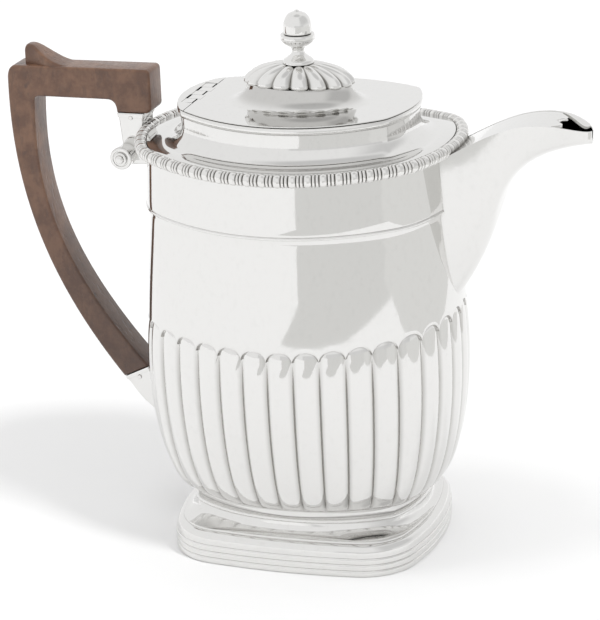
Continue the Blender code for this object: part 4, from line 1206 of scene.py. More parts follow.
@dataclass
class Handle:
    """Wooden handle with its two sockets, their pins, the roll and its bracket."""

    reach: float = 59.9 * MM
    thick: float = 13.6 * MM
    depth: float = 11.2 * MM
    bar_height: float = 13.0 * MM
    bar_rise: float = 31.0 * MM
    block_length: float = 14.9 * MM
    block_drop: float = 5.1 * MM
    block_setback: float = 1.9 * MM
    thumb_height: float = 7.6 * MM
    thumb_soft: float = 1.5 * MM
    thumb_root: float = 4.0 * MM
    edge: float = 1.1 * MM
    edge_steps: int = 6
    face_margin: float = 0.4 * MM
    foot_height: float = 45.6 * MM
    foot_stand: float = 10.9 * MM
    upper_tenon: float = 3.7 * MM
    lower_tenon: float = 5.0 * MM
    pin_level: float = 0.56
    pin_radius: float = 0.9 * MM
    socket_height: float = 15.1 * MM
    socket_thick: float = 12.4 * MM
    socket_root_drop: float = 3.5 * MM
    socket_root_height: float = 18.5 * MM
    socket_root_in: float = 2.0 * MM
    socket_lip: float = 0.35 * MM
    socket_soft: float = 0.9 * MM
    socket_root_soft: float = 1.2 * MM
    pin_proud: float = 0.5 * MM
    pin_soft: float = 0.35 * MM
    bracket_soft: float = 0.8 * MM
    roll_radius: float = 4.6 * MM
    roll_length: float = 26.0 * MM
    roll_stand: float = 9.9 * MM
    roll_soft: float = 0.7 * MM
    roll_dish: float = 0.25 * MM
    along: Array = field(default_factory=lambda: np.array((0.434, -0.901)))

    def __post_init__(self) -> None:
        """Work out the places that the wood and its sockets share."""
        self.top = FORM.body_top + self.bar_rise
        self.under = self.top - self.bar_height
        self.low = self.under - self.block_drop
        self.right = self.block_setback - FORM.half_length
        self.left = self.right - self.block_length
        self.back = -FORM.half_length - self.reach
        self.end = np.array((-FORM.half_length - self.foot_stand, FORM.foot_top + self.foot_height))
        self.across = np.array((-self.along[1], self.along[0]))
        self.socket_x = self.left + 0.39 * self.block_length
        self.socket_half = 0.375 * self.block_length
        self.roll_x = -FORM.half_length - self.roll_stand
        self.roll_z = FORM.body_top - self.roll_radius

    def outline(self) -> Array:
        """Side view of the wood: block, bar, bowed grip and lower end.

        Returns:
            X and Z of its outline, one point a row.
        """
        outer = self.end - self.across * 0.535 * self.depth
        inner = self.end + self.across * 0.535 * self.depth
        soft, depth, back, top, under = 0.12 * self.bar_height, self.depth, self.back, self.top, self.under
        grip = back + depth
        bow_z = top - 0.48 * self.bar_height
        runs = [
            bow((self.right - 1.6 * soft, self.low + 1.6 * soft), (1.6 * soft, 1.6 * soft), -90, 0, 6),
            bow((self.right - 1.2 * soft, top - 1.2 * soft), (1.2 * soft, 1.2 * soft), 0, 90, 7),
            bend((back + 0.36 * depth, top - 0.22 * soft), (back + 0.1 * depth, top - 0.3 * soft),
                 (back, top - 2 * soft), (back, bow_z), 12)[1:],
            bend((back, bow_z), (back - 0.1 * depth, mix(bow_z, outer[1], 0.3625)),
                 (back + 0.96 * depth, mix(bow_z, outer[1], 0.673)), outer, 40)[1:],
            bend(inner, (grip + 0.41 * depth, mix(under, inner[1], 0.614)),
                 (grip - 0.21 * depth, mix(under, inner[1], 0.34)), (grip, under - 1.2 * soft), 36),
            bow((grip + 1.2 * soft, under - 1.2 * soft), (1.2 * soft, 1.2 * soft), 180, 90, 6)[1:],
            bend((self.left - 2.6 * soft, under), (self.left - soft, under), (self.left, under - soft),
                 (self.left, self.low), 10),
        ]
        return np.vstack([np.asarray(run, float) for run in runs])

    def thumb_rest(self) -> Piece:
        """Rest for the thumb, narrow at its tip and widening into the bar, for joining.

        Returns:
            The thumb rest.
        """
        depth, top, soft = self.depth, self.top, self.thumb_soft
        thumb, peak = self.back + 0.8 * depth, self.top + self.thumb_height
        crest = np.vstack([
            bow((thumb - 0.04 * depth, peak - soft), (0.14 * depth, soft), 180, 100, 8),
            bend((thumb, peak), (thumb + 0.4 * depth, peak),
                 (thumb + 0.7 * depth, top - 0.1 * MM), (thumb + 1.7 * depth, top - 0.4 * MM), 24),
        ])
        root = top - self.thumb_root
        rings = []
        for x, z in crest:
            share = (x - crest[0, 0]) / (crest[-1, 0] - crest[0, 0])
            half = self.thick / 2 * mix(0.4, 0.9, eased(1.7 * share))
            left = bow((soft - half, z - soft), (soft, soft), 180, 90, 6)
            flat = np.vstack([[(-half, root)], left, left[::-1] * (-1, 1), [(half, root)]])
            rings.append(np.stack([np.full(len(flat), x + FORM.body_x), flat[:, 0], flat[:, 1]], 1))
        return Skin().loft(rings).make("cutter", 30.0)

    def wood(self) -> Piece:
        """The wooden handle, with rounded edges.

        Returns:
            The handle.
        """
        outline, half = self.outline(), self.thick / 2
        sides = [(self.edge + self.face_margin, half)]
        for turn in np.radians(np.linspace(0, 90, self.edge_steps)):
            sides.append((self.edge * (1 - math.sin(turn)), half - self.edge * (1 - math.cos(turn))))
        rings = []
        for inset, y in sides + [(inset, -y) for inset, y in reversed(sides)]:
            moved = inset_path(outline, -inset, closed=True)
            rings.append(np.stack([moved[:, 0] + FORM.body_x, np.full(len(moved), y), moved[:, 1]], 1))
        piece = Skin().loft(rings).make("handle_wood_fine", 30.0)
        carve(piece, self.thumb_rest(), Cut.ON, 30.0)
        return piece

    def pad(self, centre: Spot, across: Spot, half_across: float, half_thick: float, soft: float) -> Array:
        """Rounded rectangle spanned by a direction in the XZ plane and by Y.

        Args:
            centre: Its middle, in the XZ plane.
            across: The direction.
            half_across: Half its size that way.
            half_thick: Half its size along Y.
            soft: Radius of its corners.

        Returns:
            One point a row.
        """
        corners = []
        for quarter, (side_a, side_y) in enumerate(((1, 1), (-1, 1), (-1, -1), (1, -1))):
            middle = (side_a * (half_across - soft), side_y * (half_thick - soft))
            corners.append(bow(middle, (soft, soft), 90 * quarter, 90 * quarter + 90, 6))
        flat = np.vstack(corners)
        spots = np.asarray(centre) + flat[:, :1] * np.asarray(across)
        return np.stack([spots[:, 0] + FORM.body_x, flat[:, 1], spots[:, 1]], 1)

    def upper_socket(self) -> Piece:
        """Tapered socket with a raised band at its mouth, saddled on the roll.

        Returns:
            The socket.
        """
        mouth, foot = self.low - 0.15 * MM, self.roll_z + 0.5 * self.roll_radius
        step, lip = mouth - 0.13 * self.socket_height, self.socket_lip
        thick = self.socket_thick / 2
        rings = []
        steps = [(foot, 0.82, 0.0), (mix(foot, step, 0.5), 0.89, 0.0)]
        steps += [(step - 0.2 * MM, 0.965, 0.0), (step, 0.97, 0.0)]
        steps += [(step + 0.05 * MM, 0.98, 0.7 * lip), (step + 0.3 * MM, 0.98, lip)]
        steps += [(mouth - 0.3 * MM, 0.985, lip), (mouth - 0.05 * MM, 0.985, 0.7 * lip)]
        steps += [(mouth, 0.985, 0.1 * MM)]
        for z, share, out in steps:
            half, deep = share * self.socket_half + out, share * thick + out
            rings.append(self.pad((self.socket_x, z), (1.0, 0.0), half, deep, self.socket_soft))
        return Skin().loft(rings).make("upper_socket_fine", 40.0)

    def lower_socket(self) -> Piece:
        """Socket at the handle's foot, tapering down into the side of the body.

        Returns:
            The socket.
        """
        thick = self.socket_thick / 2
        root_z = self.end[1] - self.socket_root_drop - self.socket_root_height / 2
        root = np.array((self.socket_root_in - FORM.half_length, root_z))
        rings = []
        lip = ((0.15, 0.05), (0.25, 0.3), (0.5, 0.35), (1.6, 0.35), (1.8, 0.25), (1.9, 0.0))
        for along, out in lip:
            spot = self.end + self.along * (along * MM)
            half = 0.5 * self.depth + out * MM
            rings.append(self.pad(spot, self.across, half, thick + out * MM, self.socket_soft))
        for share in np.linspace(0.12, 1.0, 8):
            spot = mix(self.end + self.along * 1.5 * MM, root, share)
            lean = mix(self.across, np.array((0.0, 1.0)), eased(share))
            lean = lean / np.linalg.norm(lean)
            half = mix(0.5 * self.depth, self.socket_root_height / 2, share)
            rings.append(self.pad(spot, lean, half, mix(thick, 0.8 * thick, share), self.socket_root_soft))
        return Skin().loft(rings).make("lower_socket_fine", 40.0)

    def pin_spots(self) -> list[Array]:
        """Middles of the two pins, in the XZ plane."""
        upper = np.array((self.socket_x, self.low - self.pin_level * self.upper_tenon))
        return [upper, self.end + self.along * self.pin_level * self.lower_tenon]

    def pin(self, name: str, spot: Array) -> Piece:
        """Plain pin with rounded ends.

        Args:
            name: Name of the piece.
            spot: Its middle, in the XZ plane.

        Returns:
            The pin.
        """
        half, radius, soft = self.socket_thick / 2 + self.pin_proud, self.pin_radius, self.pin_soft
        end = bow((radius - soft, half - soft), (soft, soft), 0, 90, 5)
        profile = np.vstack([[(0, -half)], (end * (1, -1))[::-1], end, [(0, half)]])
        return Skin().turned(profile, crosswise(*spot), 24).make(name)

    def roll(self) -> Piece:
        """Horizontal roll that carries the upper socket, its ends turned with a fine step.

        Returns:
            The roll.
        """
        half, radius, soft = self.roll_length / 2, self.roll_radius, self.roll_soft
        dish = half - self.roll_dish
        end = np.vstack([
            [(radius - 0.18 * MM, half - 2.4 * MM), (radius, half - 2.2 * MM)],
            bow((radius - soft, half - soft), (soft, soft), 0, 90, 7),
            [(0.72 * radius, half), (0.7 * radius, dish), (0.6 * radius, dish)],
        ])
        profile = np.vstack([[(0, -dish)], (end * (1, -1))[::-1], end, [(0, dish)]])
        return Skin().turned(profile, crosswise(self.roll_x, self.roll_z), 56).make("socket_roll_fine", 35.0)

    def boss(self, name: str, side: int) -> Piece:
        """Stepped button on one end of the roll.

        Args:
            name: Name of the piece.
            side: -1 for the front and 1 for the back.

        Returns:
            The boss.
        """
        start, size = self.roll_length / 2 - 0.2 * MM, self.roll_radius
        steps = [(0, 0), (0.58, 0.0), (0.60, 0.12), (0.58, 0.2), (0.52, 0.24), (0.40, 0.24), (0.385, 0.27)]
        steps += [(0.38, 0.36), (0.33, 0.43), (0.2, 0.48), (0.0, 0.5)]
        profile = [(out * size, side * (start + up * size)) for out, up in steps]
        return Skin().turned(np.array(profile), crosswise(self.roll_x, self.roll_z), 40).make(name, 35.0)

    def bracket(self) -> Piece:
        """Saddle block between the roll and the collar band, waisted in plan.

        Returns:
            The bracket.
        """
        rings = []
        inner, outer = self.socket_root_in - FORM.half_length, self.roll_x + 0.4 * self.roll_radius
        low, high = self.roll_z - 0.9 * self.roll_radius, self.roll_z + 0.5 * self.roll_radius - FORM.fit
        for share in np.linspace(0.0, 1.0, 9):
            waist = 0.26 * self.roll_length * (1 - 0.22 * math.sin(math.pi * share))
            centre = (mix(outer, inner, share), (low + high) / 2)
            rings.append(self.pad(centre, (0.0, 1.0), (high - low) / 2, waist, self.bracket_soft))
        return Skin().loft(rings).make("roll_bracket_fine", 40.0)

    def build(self) -> None:
        """Make and finish every piece of the handle."""
        dress(self.wood(), HANDLE_WOOD, Rider.POT, "wood_handle")
        dress(self.upper_socket(), SHEET_SILVER, Rider.POT, "upper_socket")
        dress(self.lower_socket(), SHEET_SILVER, Rider.POT, "lower_socket")
        for name, spot in zip(("upper_socket_pin", "lower_socket_pin"), self.pin_spots()):
            dress(self.pin(name + "_fine", spot), FITTING_SILVER, Rider.POT, name)
        dress(self.roll(), SHEET_SILVER, Rider.POT, "socket_roll")
        for name, side in (("roll_boss_front", -1), ("roll_boss_back", 1)):
            dress(self.boss(name + "_fine", side), SHEET_SILVER, Rider.POT, name)
        dress(self.bracket(), SHEET_SILVER, Rider.POT, "roll_bracket")


@dataclass
class Hinge:
    """Flush hinge of the lid: five knuckles on a pin.

    The moving plate leaves clear before the barrel, the rim leaves swing round it and the fixed end leaves
    notch behind it. The seam parts plate and fixed end, and flat is the reach of a knuckle's flat top.
    """

    radius: float = 2.0 * MM
    length: float = 30.0 * MM
    knuckles: int = 5
    clear: float = 0.6 * MM
    bore: float = 1.1 * MM
    swing: float = 0.8 * MM
    flat: float = 1.75 * MM
    notch: float = 0.45 * MM
    seam: float = 0.2 * MM
    knuckle_gap: float = 0.16 * MM
    end_gap: float = 0.15 * MM
    pin_slack: float = 0.2 * MM
    pin_soft: float = 0.3 * MM

    def room(self) -> Piece:
        """Space that the barrel needs in the rim, for cutting.

        Returns:
            The cutter.
        """
        half, radius = self.length / 2 + FORM.fit, self.radius + self.swing
        profile = np.array([(0, -half), (radius, -half), (radius, half), (0, half)])
        return Skin().turned(profile, crosswise(FORM.hinge_x, FORM.hinge_z), 32).make("cutter")

    def leaf(self, parity: int, side: int) -> Piece:
        """Every second knuckle, each with a web toward one side.

        Args:
            parity: 0 for the outer and middle knuckles, 1 for the two between.
            side: -1 for webs toward the handle, 1 toward the spout.

        Returns:
            The knuckles, for joining.
        """
        low, high = 0.5 * self.radius, 0.985 * self.radius
        web = self.radius + self.clear + FORM.sheet
        turn = np.linspace(math.radians(165), 2 * math.pi + math.asin(low / self.radius), 29)
        outline = self.radius * np.stack([np.cos(turn), np.sin(turn)], 1)
        lip = [(-self.flat, high), (-self.flat - 0.15 * MM, high - 0.25 * MM)]
        outline = np.vstack([[(web, high)], lip, outline, [(web, low)]])
        x = FORM.body_x + FORM.hinge_x + side * outline[:, 0]
        z = FORM.hinge_z + outline[:, 1]
        step, gap = self.length / self.knuckles, self.knuckle_gap
        skin = Skin()
        for index in range(parity, self.knuckles, 2):
            near = -self.length / 2 + index * step + gap / 2
            skin.loft([np.stack([x, np.full(len(x), y), z], 1) for y in (near, near + step - gap)])
        return skin.make("cutter")

    def bore_tool(self) -> Piece:
        """Hole for the pin, for cutting.

        Returns:
            The cutter.
        """
        far, bore = self.length, self.bore
        profile = np.array([(0, -far), (bore, -far), (bore, far), (0, far)])
        return Skin().turned(profile, crosswise(FORM.hinge_x, FORM.hinge_z), 24).make("cutter")

    def pin(self) -> Piece:
        """Pin through all the knuckles, its ends rounded.

        Returns:
            The pin.
        """
        half, radius, soft = self.length / 2, self.bore - self.pin_slack, self.pin_soft
        end = bow((radius - soft, half - soft), (soft, soft), 0, 90, 5)
        profile = np.vstack([[(0, -half)], (end * (1, -1))[::-1], end, [(0, half)]])
        return Skin().turned(profile, crosswise(FORM.hinge_x, FORM.hinge_z), 24).make("hinge_pin_fine")


@dataclass
class Lid:
    """Lid: fixed end, moving plate, flange, petal dome and acorn finial."""

    hinge: Hinge = field(default_factory=Hinge)
    dome_half_length: float = 22.8 * MM
    dome_droop: float = 0.9 * MM
    dome_half_width: float = 14.2 * MM
    crown_half_length: float = 29.5 * MM
    crown_half_width: float = 23.0 * MM
    crown_start: float = 0.05 * MM
    crown_over: float = 0.6 * MM
    crown_top: float = 0.93
    crown_turn: float = 0.985
    # Painted shade on the upper part of the crown's sweep, as a hollow value from 0 to 1.
    crown_shade: float = 0.8
    dome_height: float = 8.1 * MM
    petals: int = 16
    scallop: float = 0.16
    petal_columns: int = 16
    bezel_drop: float = 3.5 * MM
    bezel_slack: float = 0.4 * MM
    finial_z: float = 199.0 * MM
    finial_height: float = 21.4 * MM
    acorn_radius: float = 6.9 * MM
    stud_radius: float = 1.5 * MM
    seam_lean: float = 0.6
    crease: float = 32.0

    def oval(self, half_length: float, half_width: float, z: float) -> Array:
        """Oval ring whose points keep step with the lid's outline.

        Args:
            half_length: Half its length.
            half_width: Half its width.
            z: Its height.

        Returns:
            One point a row.
        """
        edge = FORM.ring(EVEN, FORM.lid_offset, 0.0)
        turn = np.arctan2(edge[:, 1] / FORM.half_width, (edge[:, 0] - FORM.body_x) / FORM.half_length)
        return FORM.place(half_length * np.cos(turn), half_width * np.sin(turn), z)

    def whole(self, name: str) -> Piece:
        """Lid before it is parted at the hinge: flat top, concave sweep and platform.

        Args:
            name: Name of the piece.

        Returns:
            The whole lid.
        """
        long, wide, sheet = self.crown_half_length, self.crown_half_width, FORM.sheet
        top_long, top_wide = self.crown_top * self.dome_half_length, self.crown_top * self.dome_half_width
        outer = FORM.lid_offset
        base = FORM.lid_top + self.crown_start
        rise = FORM.platform_z + self.crown_over - base
        hole = self.stud_radius + 2 * FORM.fit
        path = [(outer - 2.2 * sheet, FORM.lid_bottom), (outer - 2.1 * sheet, FORM.lid_edge)]
        path += [(outer - 0.1 * MM, FORM.lid_edge)]
        path += bow((outer - 0.3 * MM, FORM.lid_top - 0.2 * MM), (0.3 * MM, 0.2 * MM), -40, 90, 7).tolist()
        rings = [FORM.ring(EVEN, *spot) for spot in path]
        edge = FORM.ring(EVEN, outer - 0.6 * MM, FORM.lid_top)
        foot = self.oval(long, wide, base)
        rings += [mix(edge, foot, share) for share in np.linspace(0.0, 1.0, 9)]
        # Painted shade, greying the upper part of the sweep; the rest of the lid gets none.
        crown_shade_rows = [0.0] * len(rings)
        turn = self.crown_turn
        for share in np.sin(np.linspace(0.05, 1.0, 20) * math.pi / 2):
            z = base + rise * (1 - math.sqrt(1 - turn * share**2)) / (1 - math.sqrt(1 - turn))
            rings.append(self.oval(mix(long, top_long, share), mix(wide, top_wide, share), z))
            crown_shade_rows.append(self.crown_shade * float(eased((share - 0.3) / 0.5)))
        rings += [self.oval(hole, hole, FORM.platform_z), self.oval(hole, hole, FORM.platform_z - sheet)]
        rings.append(self.oval(top_long - sheet, top_wide - sheet, FORM.platform_z - sheet))
        waist = mix(base, FORM.platform_z, 0.22) - sheet
        rings.append(self.oval(mix(top_long, long, 0.3) - sheet, mix(top_wide, wide, 0.3) - sheet, waist))
        rings.append(self.oval(long - sheet, wide - sheet, FORM.lid_bottom))
        crown_shade_rows += [0.0] * (len(rings) - len(crown_shade_rows))
        return Skin().loft(rings, closed=True, hollow=np.array(crown_shade_rows)[:, None]).make(name, self.crease)

    def fixed_end(self) -> Piece:
        """Fixed end of the lid with the outer and middle knuckles of the hinge.

        Returns:
            The fixed end.
        """
        piece, hinge = self.whole("lid_end_fine"), self.hinge
        middle, half = FORM.body_x + FORM.hinge_x, hinge.length / 2 + hinge.end_gap
        low, high = PAST_LID
        seam = middle + hinge.radius + hinge.clear - hinge.seam
        notch = middle - hinge.radius - hinge.notch
        carve(piece, block((seam, -PAST_SIDES, low), (PAST_SIDES, PAST_SIDES, high)), Cut.AWAY, self.crease)
        carve(piece, block((notch, -half, low), (PAST_SIDES, half, high)), Cut.AWAY, self.crease)
        carve(piece, hinge.room(), Cut.AWAY, self.crease)
        carve(piece, hinge.leaf(0, -1), Cut.ON, self.crease)
        carve(piece, hinge.bore_tool(), Cut.AWAY, self.crease)
        return piece

    def plate(self) -> Piece:
        """Moving part of the lid with its two knuckles.

        Returns:
            The plate.
        """
        piece, hinge = self.whole("lid_plate_fine"), self.hinge
        seam = FORM.body_x + FORM.hinge_x + hinge.radius + hinge.clear
        low, high = PAST_LID
        behind = block((-PAST_SIDES, -PAST_SIDES, low), (seam, PAST_SIDES, high), self.seam_lean)
        carve(piece, behind, Cut.AWAY, self.crease)
        carve(piece, hinge.leaf(1, 1), Cut.ON, self.crease)
        carve(piece, hinge.bore_tool(), Cut.AWAY, self.crease)
        return piece

    def bezel(self) -> Piece:
        """Flange under the lid that drops into the neck, open at the hinge.

        Returns:
            The flange.
        """
        sheet = FORM.sheet
        outside, top = FORM.neck_offset - sheet - self.bezel_slack, FORM.lid_bottom - 0.1 * MM
        low = top - self.bezel_drop
        path = [(outside - sheet, top), (outside - sheet, low + 0.2 * MM), (outside - 0.8 * sheet, low)]
        path += [(outside - 0.3 * sheet, low), (outside, low + 0.4 * MM), (outside, top)]
        piece = band(path, "lid_bezel_fine")
        seam = FORM.body_x + FORM.hinge_x + 3 * self.hinge.radius
        carve(piece, block((-PAST_SIDES, -PAST_SIDES, 0.0), (seam, PAST_SIDES, PAST_LID[1])), Cut.AWAY)
        return piece

    def petal_dome(self) -> Piece:
        """Dome of full petals with narrow grooves between them, bored for the screw.

        Returns:
            The dome.
        """
        step = np.arange(self.petal_columns) / self.petal_columns
        across = np.tile(-np.cos(math.pi * step), self.petals)
        petal = np.repeat(np.arange(self.petals), self.petal_columns)
        turn = 2 * math.pi * (petal + 0.5 + across / 2) / self.petals
        bulge = arched(across, 0.95)
        # Painted shade down the grooves between the petals, growing as the grooves deepen.
        groove = 0.8 * eased((np.abs(across) - 0.55) / 0.45)
        low, tall = FORM.platform_z + FORM.fit, self.dome_height
        rings, hollows = [], []

        def add(share: float, level: float, depth: float, scallop: float) -> None:
            """Add one ring of petals.

            Args:
                share: Its share of the dome's reach.
                level: Its share of the dome's height.
                depth: How far its grooves drop.
                scallop: How far its grooves draw in, as a share.
            """
            reach = share * (1 - scallop * bulge)
            z = low + level * tall - depth * bulge - self.dome_droop * share**3 * np.cos(turn) ** 2
            x, y = reach * self.dome_half_length * np.cos(turn), reach * self.dome_half_width * np.sin(turn)
            rings.append(FORM.place(x, y, z))
            hollows.append(groove * min(1.0, depth / (0.5 * MM) + 8 * scallop))

        for angle in np.radians(np.linspace(-50, 0, 6)):
            add(0.93 + 0.07 * math.cos(angle), 0.17 + 0.14 * math.sin(angle), 0.0, self.scallop)
        profile = bend((1.0, 0.19), (0.985, 0.52), (0.80, 0.85), (0.42, 1.03), 16)
        for share, level in profile[1:]:
            depth = mix(0.3, 1.2, eased((share - 0.25) / 0.5)) * MM
            add(share, level, depth, self.scallop * eased((share - 0.5) / 0.5))
        hole = (self.stud_radius + 2 * FORM.fit) / self.dome_half_width
        add(hole, 1.03, 0.0, 0.0)
        for share, level in ((hole, 0.06), (0.5, 0.06), (0.80, 0.06)):
            add(share, level, 0.0, 0.0)
        return Skin().loft(rings, closed=True, hollow=np.array(hollows)).make("petal_dome", 55.0)

    def acorn_cup(self) -> Piece:
        """Cup of the acorn on its turned stem, bored from below for the screw.

        Returns:
            The cup.
        """
        radius, tall, base = self.acorn_radius, self.finial_height, self.finial_z
        bore, bore_top = self.stud_radius + FORM.fit, base + 0.25 * tall
        knots = [(0.90, 0.03), (0.84, 0.065), (0.62, 0.115), (0.42, 0.175), (0.355, 0.235), (0.40, 0.285)]
        knots += [(0.50, 0.315), (0.72, 0.355), (0.90, 0.405), (0.985, 0.45)]
        curve = spline(knots, 5)
        rim = [(0.96, 0.462), (1.0, 0.475), (1.0, 0.52), (0.97, 0.545), (0.90, 0.55)]
        shape = np.vstack([[(0.87, 0.0), (0.90, 0.008)], curve, rim, [(0.0, 0.55)]])
        outside = np.stack([shape[:, 0] * radius, base + shape[:, 1] * tall], 1)
        profile = np.vstack([[(0, bore_top), (bore, bore_top), (bore, base)], outside])
        return Skin().turned(profile, upright(), 72).make("acorn_cup_fine", 35.0)

    def acorn_nut(self) -> Piece:
        """Nut of the acorn with a small point on top.

        Returns:
            The nut.
        """
        low = self.finial_z + 0.55 * self.finial_height + FORM.fit
        tall = self.finial_z + self.finial_height - low
        knots = [(0.80, 0.0), (0.82, 0.1), (0.825, 0.22), (0.80, 0.42), (0.71, 0.62), (0.55, 0.79)]
        knots += [(0.34, 0.885), (0.21, 0.915), (0.15, 0.955), (0.08, 0.988), (0.0, 1.0)]
        shape = np.vstack([[(0.0, 0.0)], spline(knots, 5)])
        profile = np.stack([shape[:, 0] * self.acorn_radius, low + shape[:, 1] * tall], 1)
        return Skin().turned(profile, upright(), 72).make("acorn_nut_fine", 35.0)

    def build(self) -> None:
        """Make and finish every piece of the lid and its hinge."""
        dress(self.fixed_end(), SHEET_SILVER, Rider.POT, "lid_end")
        dress(self.hinge.pin(), FITTING_SILVER, Rider.POT, "hinge_pin")
        dress(self.plate(), SHEET_SILVER, Rider.LID, "lid_plate")
        dress(self.bezel(), SHEET_SILVER, Rider.LID, "lid_bezel")
        dress(self.petal_dome(), CHASED_SILVER, Rider.LID, "lid_dome")
        dress(self.acorn_cup(), CHASED_SILVER, Rider.LID, "acorn_cup")
        dress(self.acorn_nut(), CHASED_SILVER, Rider.LID, "acorn_nut")
        for node in ("finial_stud", "finial_nut"):
            dress_node(node, FITTING_SILVER)


@dataclass
class PhotoView:
    """Camera at the photograph's view."""

    image_width: float = 600.0
    image_height: float = 620.0
    azimuth: float = 18.5
    elevation: float = 19.1
    roll: float = -2.2
    distance: float = 1.2
    focal_pixels: float = 2966.4
    sensor: float = 36.0
    clip: tuple[float, float] = (0.05, 50.0)
    aim_height: float = 0.110
    aim_pixel: tuple[float, float] = (306.6, 276.1)

    def build(self) -> None:
        """Place the camera so that the aimed point of the body's middle lies on its pixel."""
        turn, lift, roll = (math.radians(angle) for angle in (self.azimuth, self.elevation, self.roll))
        back = Vector((math.sin(turn) * math.cos(lift), -math.cos(turn) * math.cos(lift), math.sin(lift)))
        level = Vector((math.cos(turn), math.sin(turn), 0.0))
        steep = back.cross(level)
        right = level * math.cos(roll) + steep * math.sin(roll)
        up = steep * math.cos(roll) - level * math.sin(roll)
        scale = self.distance / self.focal_pixels
        aside = (self.aim_pixel[0] - self.image_width / 2) * scale
        above = (self.image_height / 2 - self.aim_pixel[1]) * scale
        aim = Vector((FORM.body_x, 0.0, self.aim_height))
        lens = bpy.data.cameras.new("photo_camera")
        lens.sensor_fit = "HORIZONTAL"
        lens.sensor_width = self.sensor
        lens.lens = self.focal_pixels * self.sensor / self.image_width
        lens.clip_start, lens.clip_end = self.clip
        camera = bpy.data.objects.new("photo_camera", lens)
        turned = Matrix((right, up, back)).transposed().to_4x4()
        turned.translation = aim - right * aside - up * above + back * self.distance
        camera.matrix_world = turned
        bpy.context.scene.collection.objects.link(camera)
        bpy.context.scene.camera = camera


@dataclass(frozen=True)
class TentPatch:
    """Greyer patch of the tent.

    Its sides, foot and top are in degrees, with how soft they are, and share is how much of the tent's light
    it keeps.
    """

    left: float
    right: float
    low: float
    high: float
    soft: float
    fade: float
    share: float


@dataclass(frozen=True)
class FarLight:
    """Soft light from far off: its bearing from the X axis, height and width in degrees, and its strength."""

    name: str
    turn: float
    lift: float
    strength: float
    spread: float


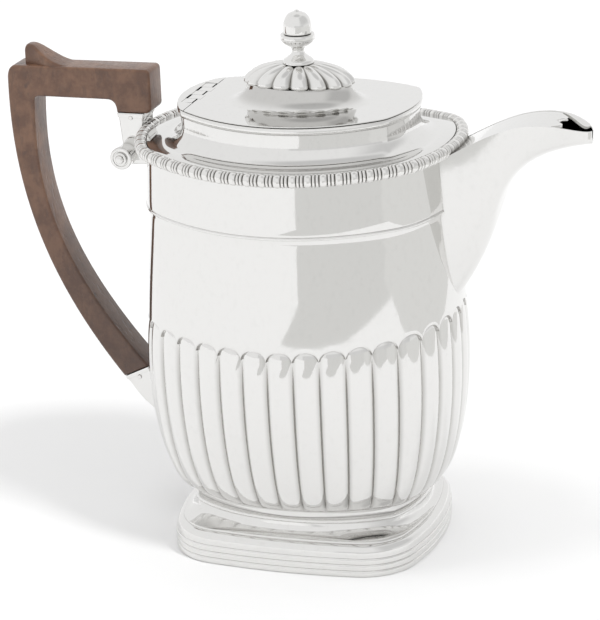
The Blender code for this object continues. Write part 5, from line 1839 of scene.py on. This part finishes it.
@dataclass
class Studio:
    """Pale floor, white tent, soft lights and the cards that show in the polish."""

    floor_half: float = 5.0
    floor_points: int = 9
    floor_drop: float = 0.05 * MM
    floor_grey: float = 0.855
    floor_roughness: float = 0.9
    floor_specular: float = 0.1
    mottle: float = 0.004
    mottle_repeats: Triple = (30.0, 30.0, 30.0)
    tent: float = 0.95
    front_grey: float = 0.79
    side_grey: float = 0.84
    card_z: float = 0.5 * MM
    card_warmth: float = 0.985
    lights: tuple[FarLight, ...] = (
        FarLight("key", -25.0, 50.0, 1.2, 10.0),
        FarLight("fill", 205.0, 70.0, 0.4, 14.0),
    )
    patches: tuple[TentPatch, ...] = (
        TentPatch(-96.0, -20.0, -95.0, 9.0, 1.0, 3.0, 0.82),
        TentPatch(-400.0, 400.0, 70.0, 200.0, 1.0, 8.0, 0.70),
        TentPatch(-45.0, 40.0, 8.0, 62.0, 15.0, 12.0, 0.74),
    )

    def floor(self) -> None:
        """Pale floor, plain but for a faint mottle."""
        count = self.floor_points
        side = np.linspace(-self.floor_half, self.floor_half, count)
        rows = [np.stack([side, np.full(count, y), np.full(count, -self.floor_drop)], 1) for y in side]
        grid = np.array(rows).reshape(-1, 3)
        starts = [i for i in range(count * (count - 1)) if i % count < count - 1]
        faces = [(i, i + 1, i + count + 1, i + count) for i in starts]
        mesh = bpy.data.meshes.new("pale_floor")
        mesh.from_pydata(grid.tolist(), [], faces)
        kit = Dresser("pale_floor")
        mottle = kit.noise(self.mottle_repeats, 2.0)
        dark, pale = self.floor_grey - self.mottle, self.floor_grey + self.mottle
        kit.link(kit.blend(mottle, (dark,) * 3, (pale,) * 3), kit.shader.inputs["Base Color"])
        kit.shader.inputs["Roughness"].default_value = self.floor_roughness
        kit.shader.inputs["Specular IOR Level"].default_value = self.floor_specular
        mesh.materials.append(kit.material)
        floor = bpy.data.objects.new("pale_floor", mesh)
        bpy.context.scene.collection.objects.link(floor)

    def card(self, name: str, corners: Path, glow: float) -> None:
        """Plain card on the floor that shows only in the silver.

        Args:
            name: Its name.
            corners: X and Y of its corners, in millimetres.
            glow: How bright it is.
        """
        mesh = bpy.data.meshes.new(name)
        spots = [(x * MM, y * MM, self.card_z) for x, y in corners]
        mesh.from_pydata(spots, [], [tuple(range(len(spots)))])
        material = bpy.data.materials.new(name)
        material.use_nodes = True
        tree = material.node_tree
        tree.nodes.remove(tree.nodes["Principled BSDF"])
        light = tree.nodes.new("ShaderNodeEmission")
        light.inputs["Color"].default_value = (glow, glow, self.card_warmth * glow, 1.0)
        tree.links.new(light.outputs[0], tree.nodes["Material Output"].inputs["Surface"])
        mesh.materials.append(material)
        card = bpy.data.objects.new(name, mesh)
        for ray in ("camera", "diffuse", "shadow", "transmission", "volume_scatter"):
            setattr(card, "visible_" + ray, False)
        bpy.context.scene.collection.objects.link(card)

    def cards(self) -> None:
        """Two grey cards on the floor: one in front of the pot and one beyond the spout."""
        front = [(22, -20000), (22, -700), (26, -640), (-41, -467), (-57, -419), (198, -393), (279, -404)]
        front += [(375, -405), (504, -390), (545, -485), (664, -566), (20000, -17100)]
        side = [(504, -390), (456, -329), (419, -271), (404, -192), (380, 0), (320, 160), (340, 500)]
        side += [(20000, 12000), (20000, -17100), (664, -566), (545, -485)]
        self.card("front_card", front, self.front_grey)
        self.card("side_card", side, self.side_grey)

    def light(self, wanted: FarLight) -> None:
        """Set up one light, which reaches the floor and the wood but doesn't show in the silver.

        Args:
            wanted: The light.
        """
        sun = bpy.data.lights.new(wanted.name, "SUN")
        sun.energy = wanted.strength
        sun.angle = math.radians(wanted.spread)
        lamp = bpy.data.objects.new(wanted.name, sun)
        turn, lift = math.radians(wanted.turn), math.radians(wanted.lift)
        source = Vector((math.cos(turn) * math.cos(lift), math.sin(turn) * math.cos(lift), math.sin(lift)))
        lamp.rotation_mode = "QUATERNION"
        lamp.rotation_quaternion = source.to_track_quat("Z", "Y")
        lamp.visible_glossy = False
        bpy.context.scene.collection.objects.link(lamp)

    def world(self) -> None:
        """White tent with greyer patches."""
        world = bpy.data.worlds.new("tent")
        bpy.context.scene.world = world
        world.use_nodes = True
        tree = world.node_tree
        parts = tree.nodes.new("ShaderNodeSeparateXYZ")
        tree.links.new(tree.nodes.new("ShaderNodeTexCoord").outputs["Generated"], parts.inputs[0])

        def combine(way: str, first: Socket, second: Socket | float = 0.0) -> Socket:
            """Add one math node.

            Args:
                way: Its operation.
                first: Its first value.
                second: Its second value, a number or a socket.

            Returns:
                Its result.
            """
            made = tree.nodes.new("ShaderNodeMath")
            made.operation = way
            tree.links.new(first, made.inputs[0])
            if isinstance(second, Socket):
                tree.links.new(second, made.inputs[1])
            else:
                made.inputs[1].default_value = second
            return made.outputs[0]

        def step(value: Socket, middle: float, soft: float) -> Socket:
            """Rise smoothly from 0 to 1 round an angle, or fall where soft is negative.

            Args:
                value: Angle in radians.
                middle: Where the step is, in degrees.
                soft: Half its width, in degrees.

            Returns:
                The share.
            """
            made = tree.nodes.new("ShaderNodeMapRange")
            made.interpolation_type = "SMOOTHSTEP"
            made.inputs["From Min"].default_value = math.radians(middle - soft)
            made.inputs["From Max"].default_value = math.radians(middle + soft)
            tree.links.new(value, made.inputs["Value"])
            return made.outputs["Result"]

        turn = combine("ARCTAN2", parts.outputs[1], parts.outputs[0])
        lift = combine("ARCSINE", parts.outputs[2])
        level = None
        for patch in self.patches:
            left, right = step(turn, patch.left, patch.soft), step(turn, patch.right, -patch.soft)
            low, high = step(lift, patch.low, patch.fade), step(lift, patch.high, -patch.fade)
            inside = combine("MULTIPLY", combine("MULTIPLY", left, right), combine("MULTIPLY", low, high))
            lost = combine("MULTIPLY", inside, patch.share - 1.0)
            kept = combine("ADD", lost, 1.0)
            level = kept if level is None else combine("MULTIPLY", level, kept)
        tree.links.new(combine("MULTIPLY", level, self.tent), tree.nodes["Background"].inputs["Color"])

    def build(self) -> None:
        """Set up floor, cards, lights, tent and the picture's tone."""
        self.floor()
        self.cards()
        for wanted in self.lights:
            self.light(wanted)
        self.world()
        settings = bpy.context.scene.view_settings
        settings.view_transform = "Standard"
        settings.look = "None"


def main() -> None:
    """Build the pot piece by piece, then the studio and the camera."""
    logging.basicConfig(level=logging.INFO, format="%(message)s")
    for part in (PhotoView(), Vessel(), Foot(), Spout(), Handle(), Lid(), Studio()):
        LOG.info("%s", type(part).__name__)
        part.build()


if __name__ == "__main__":
    main()
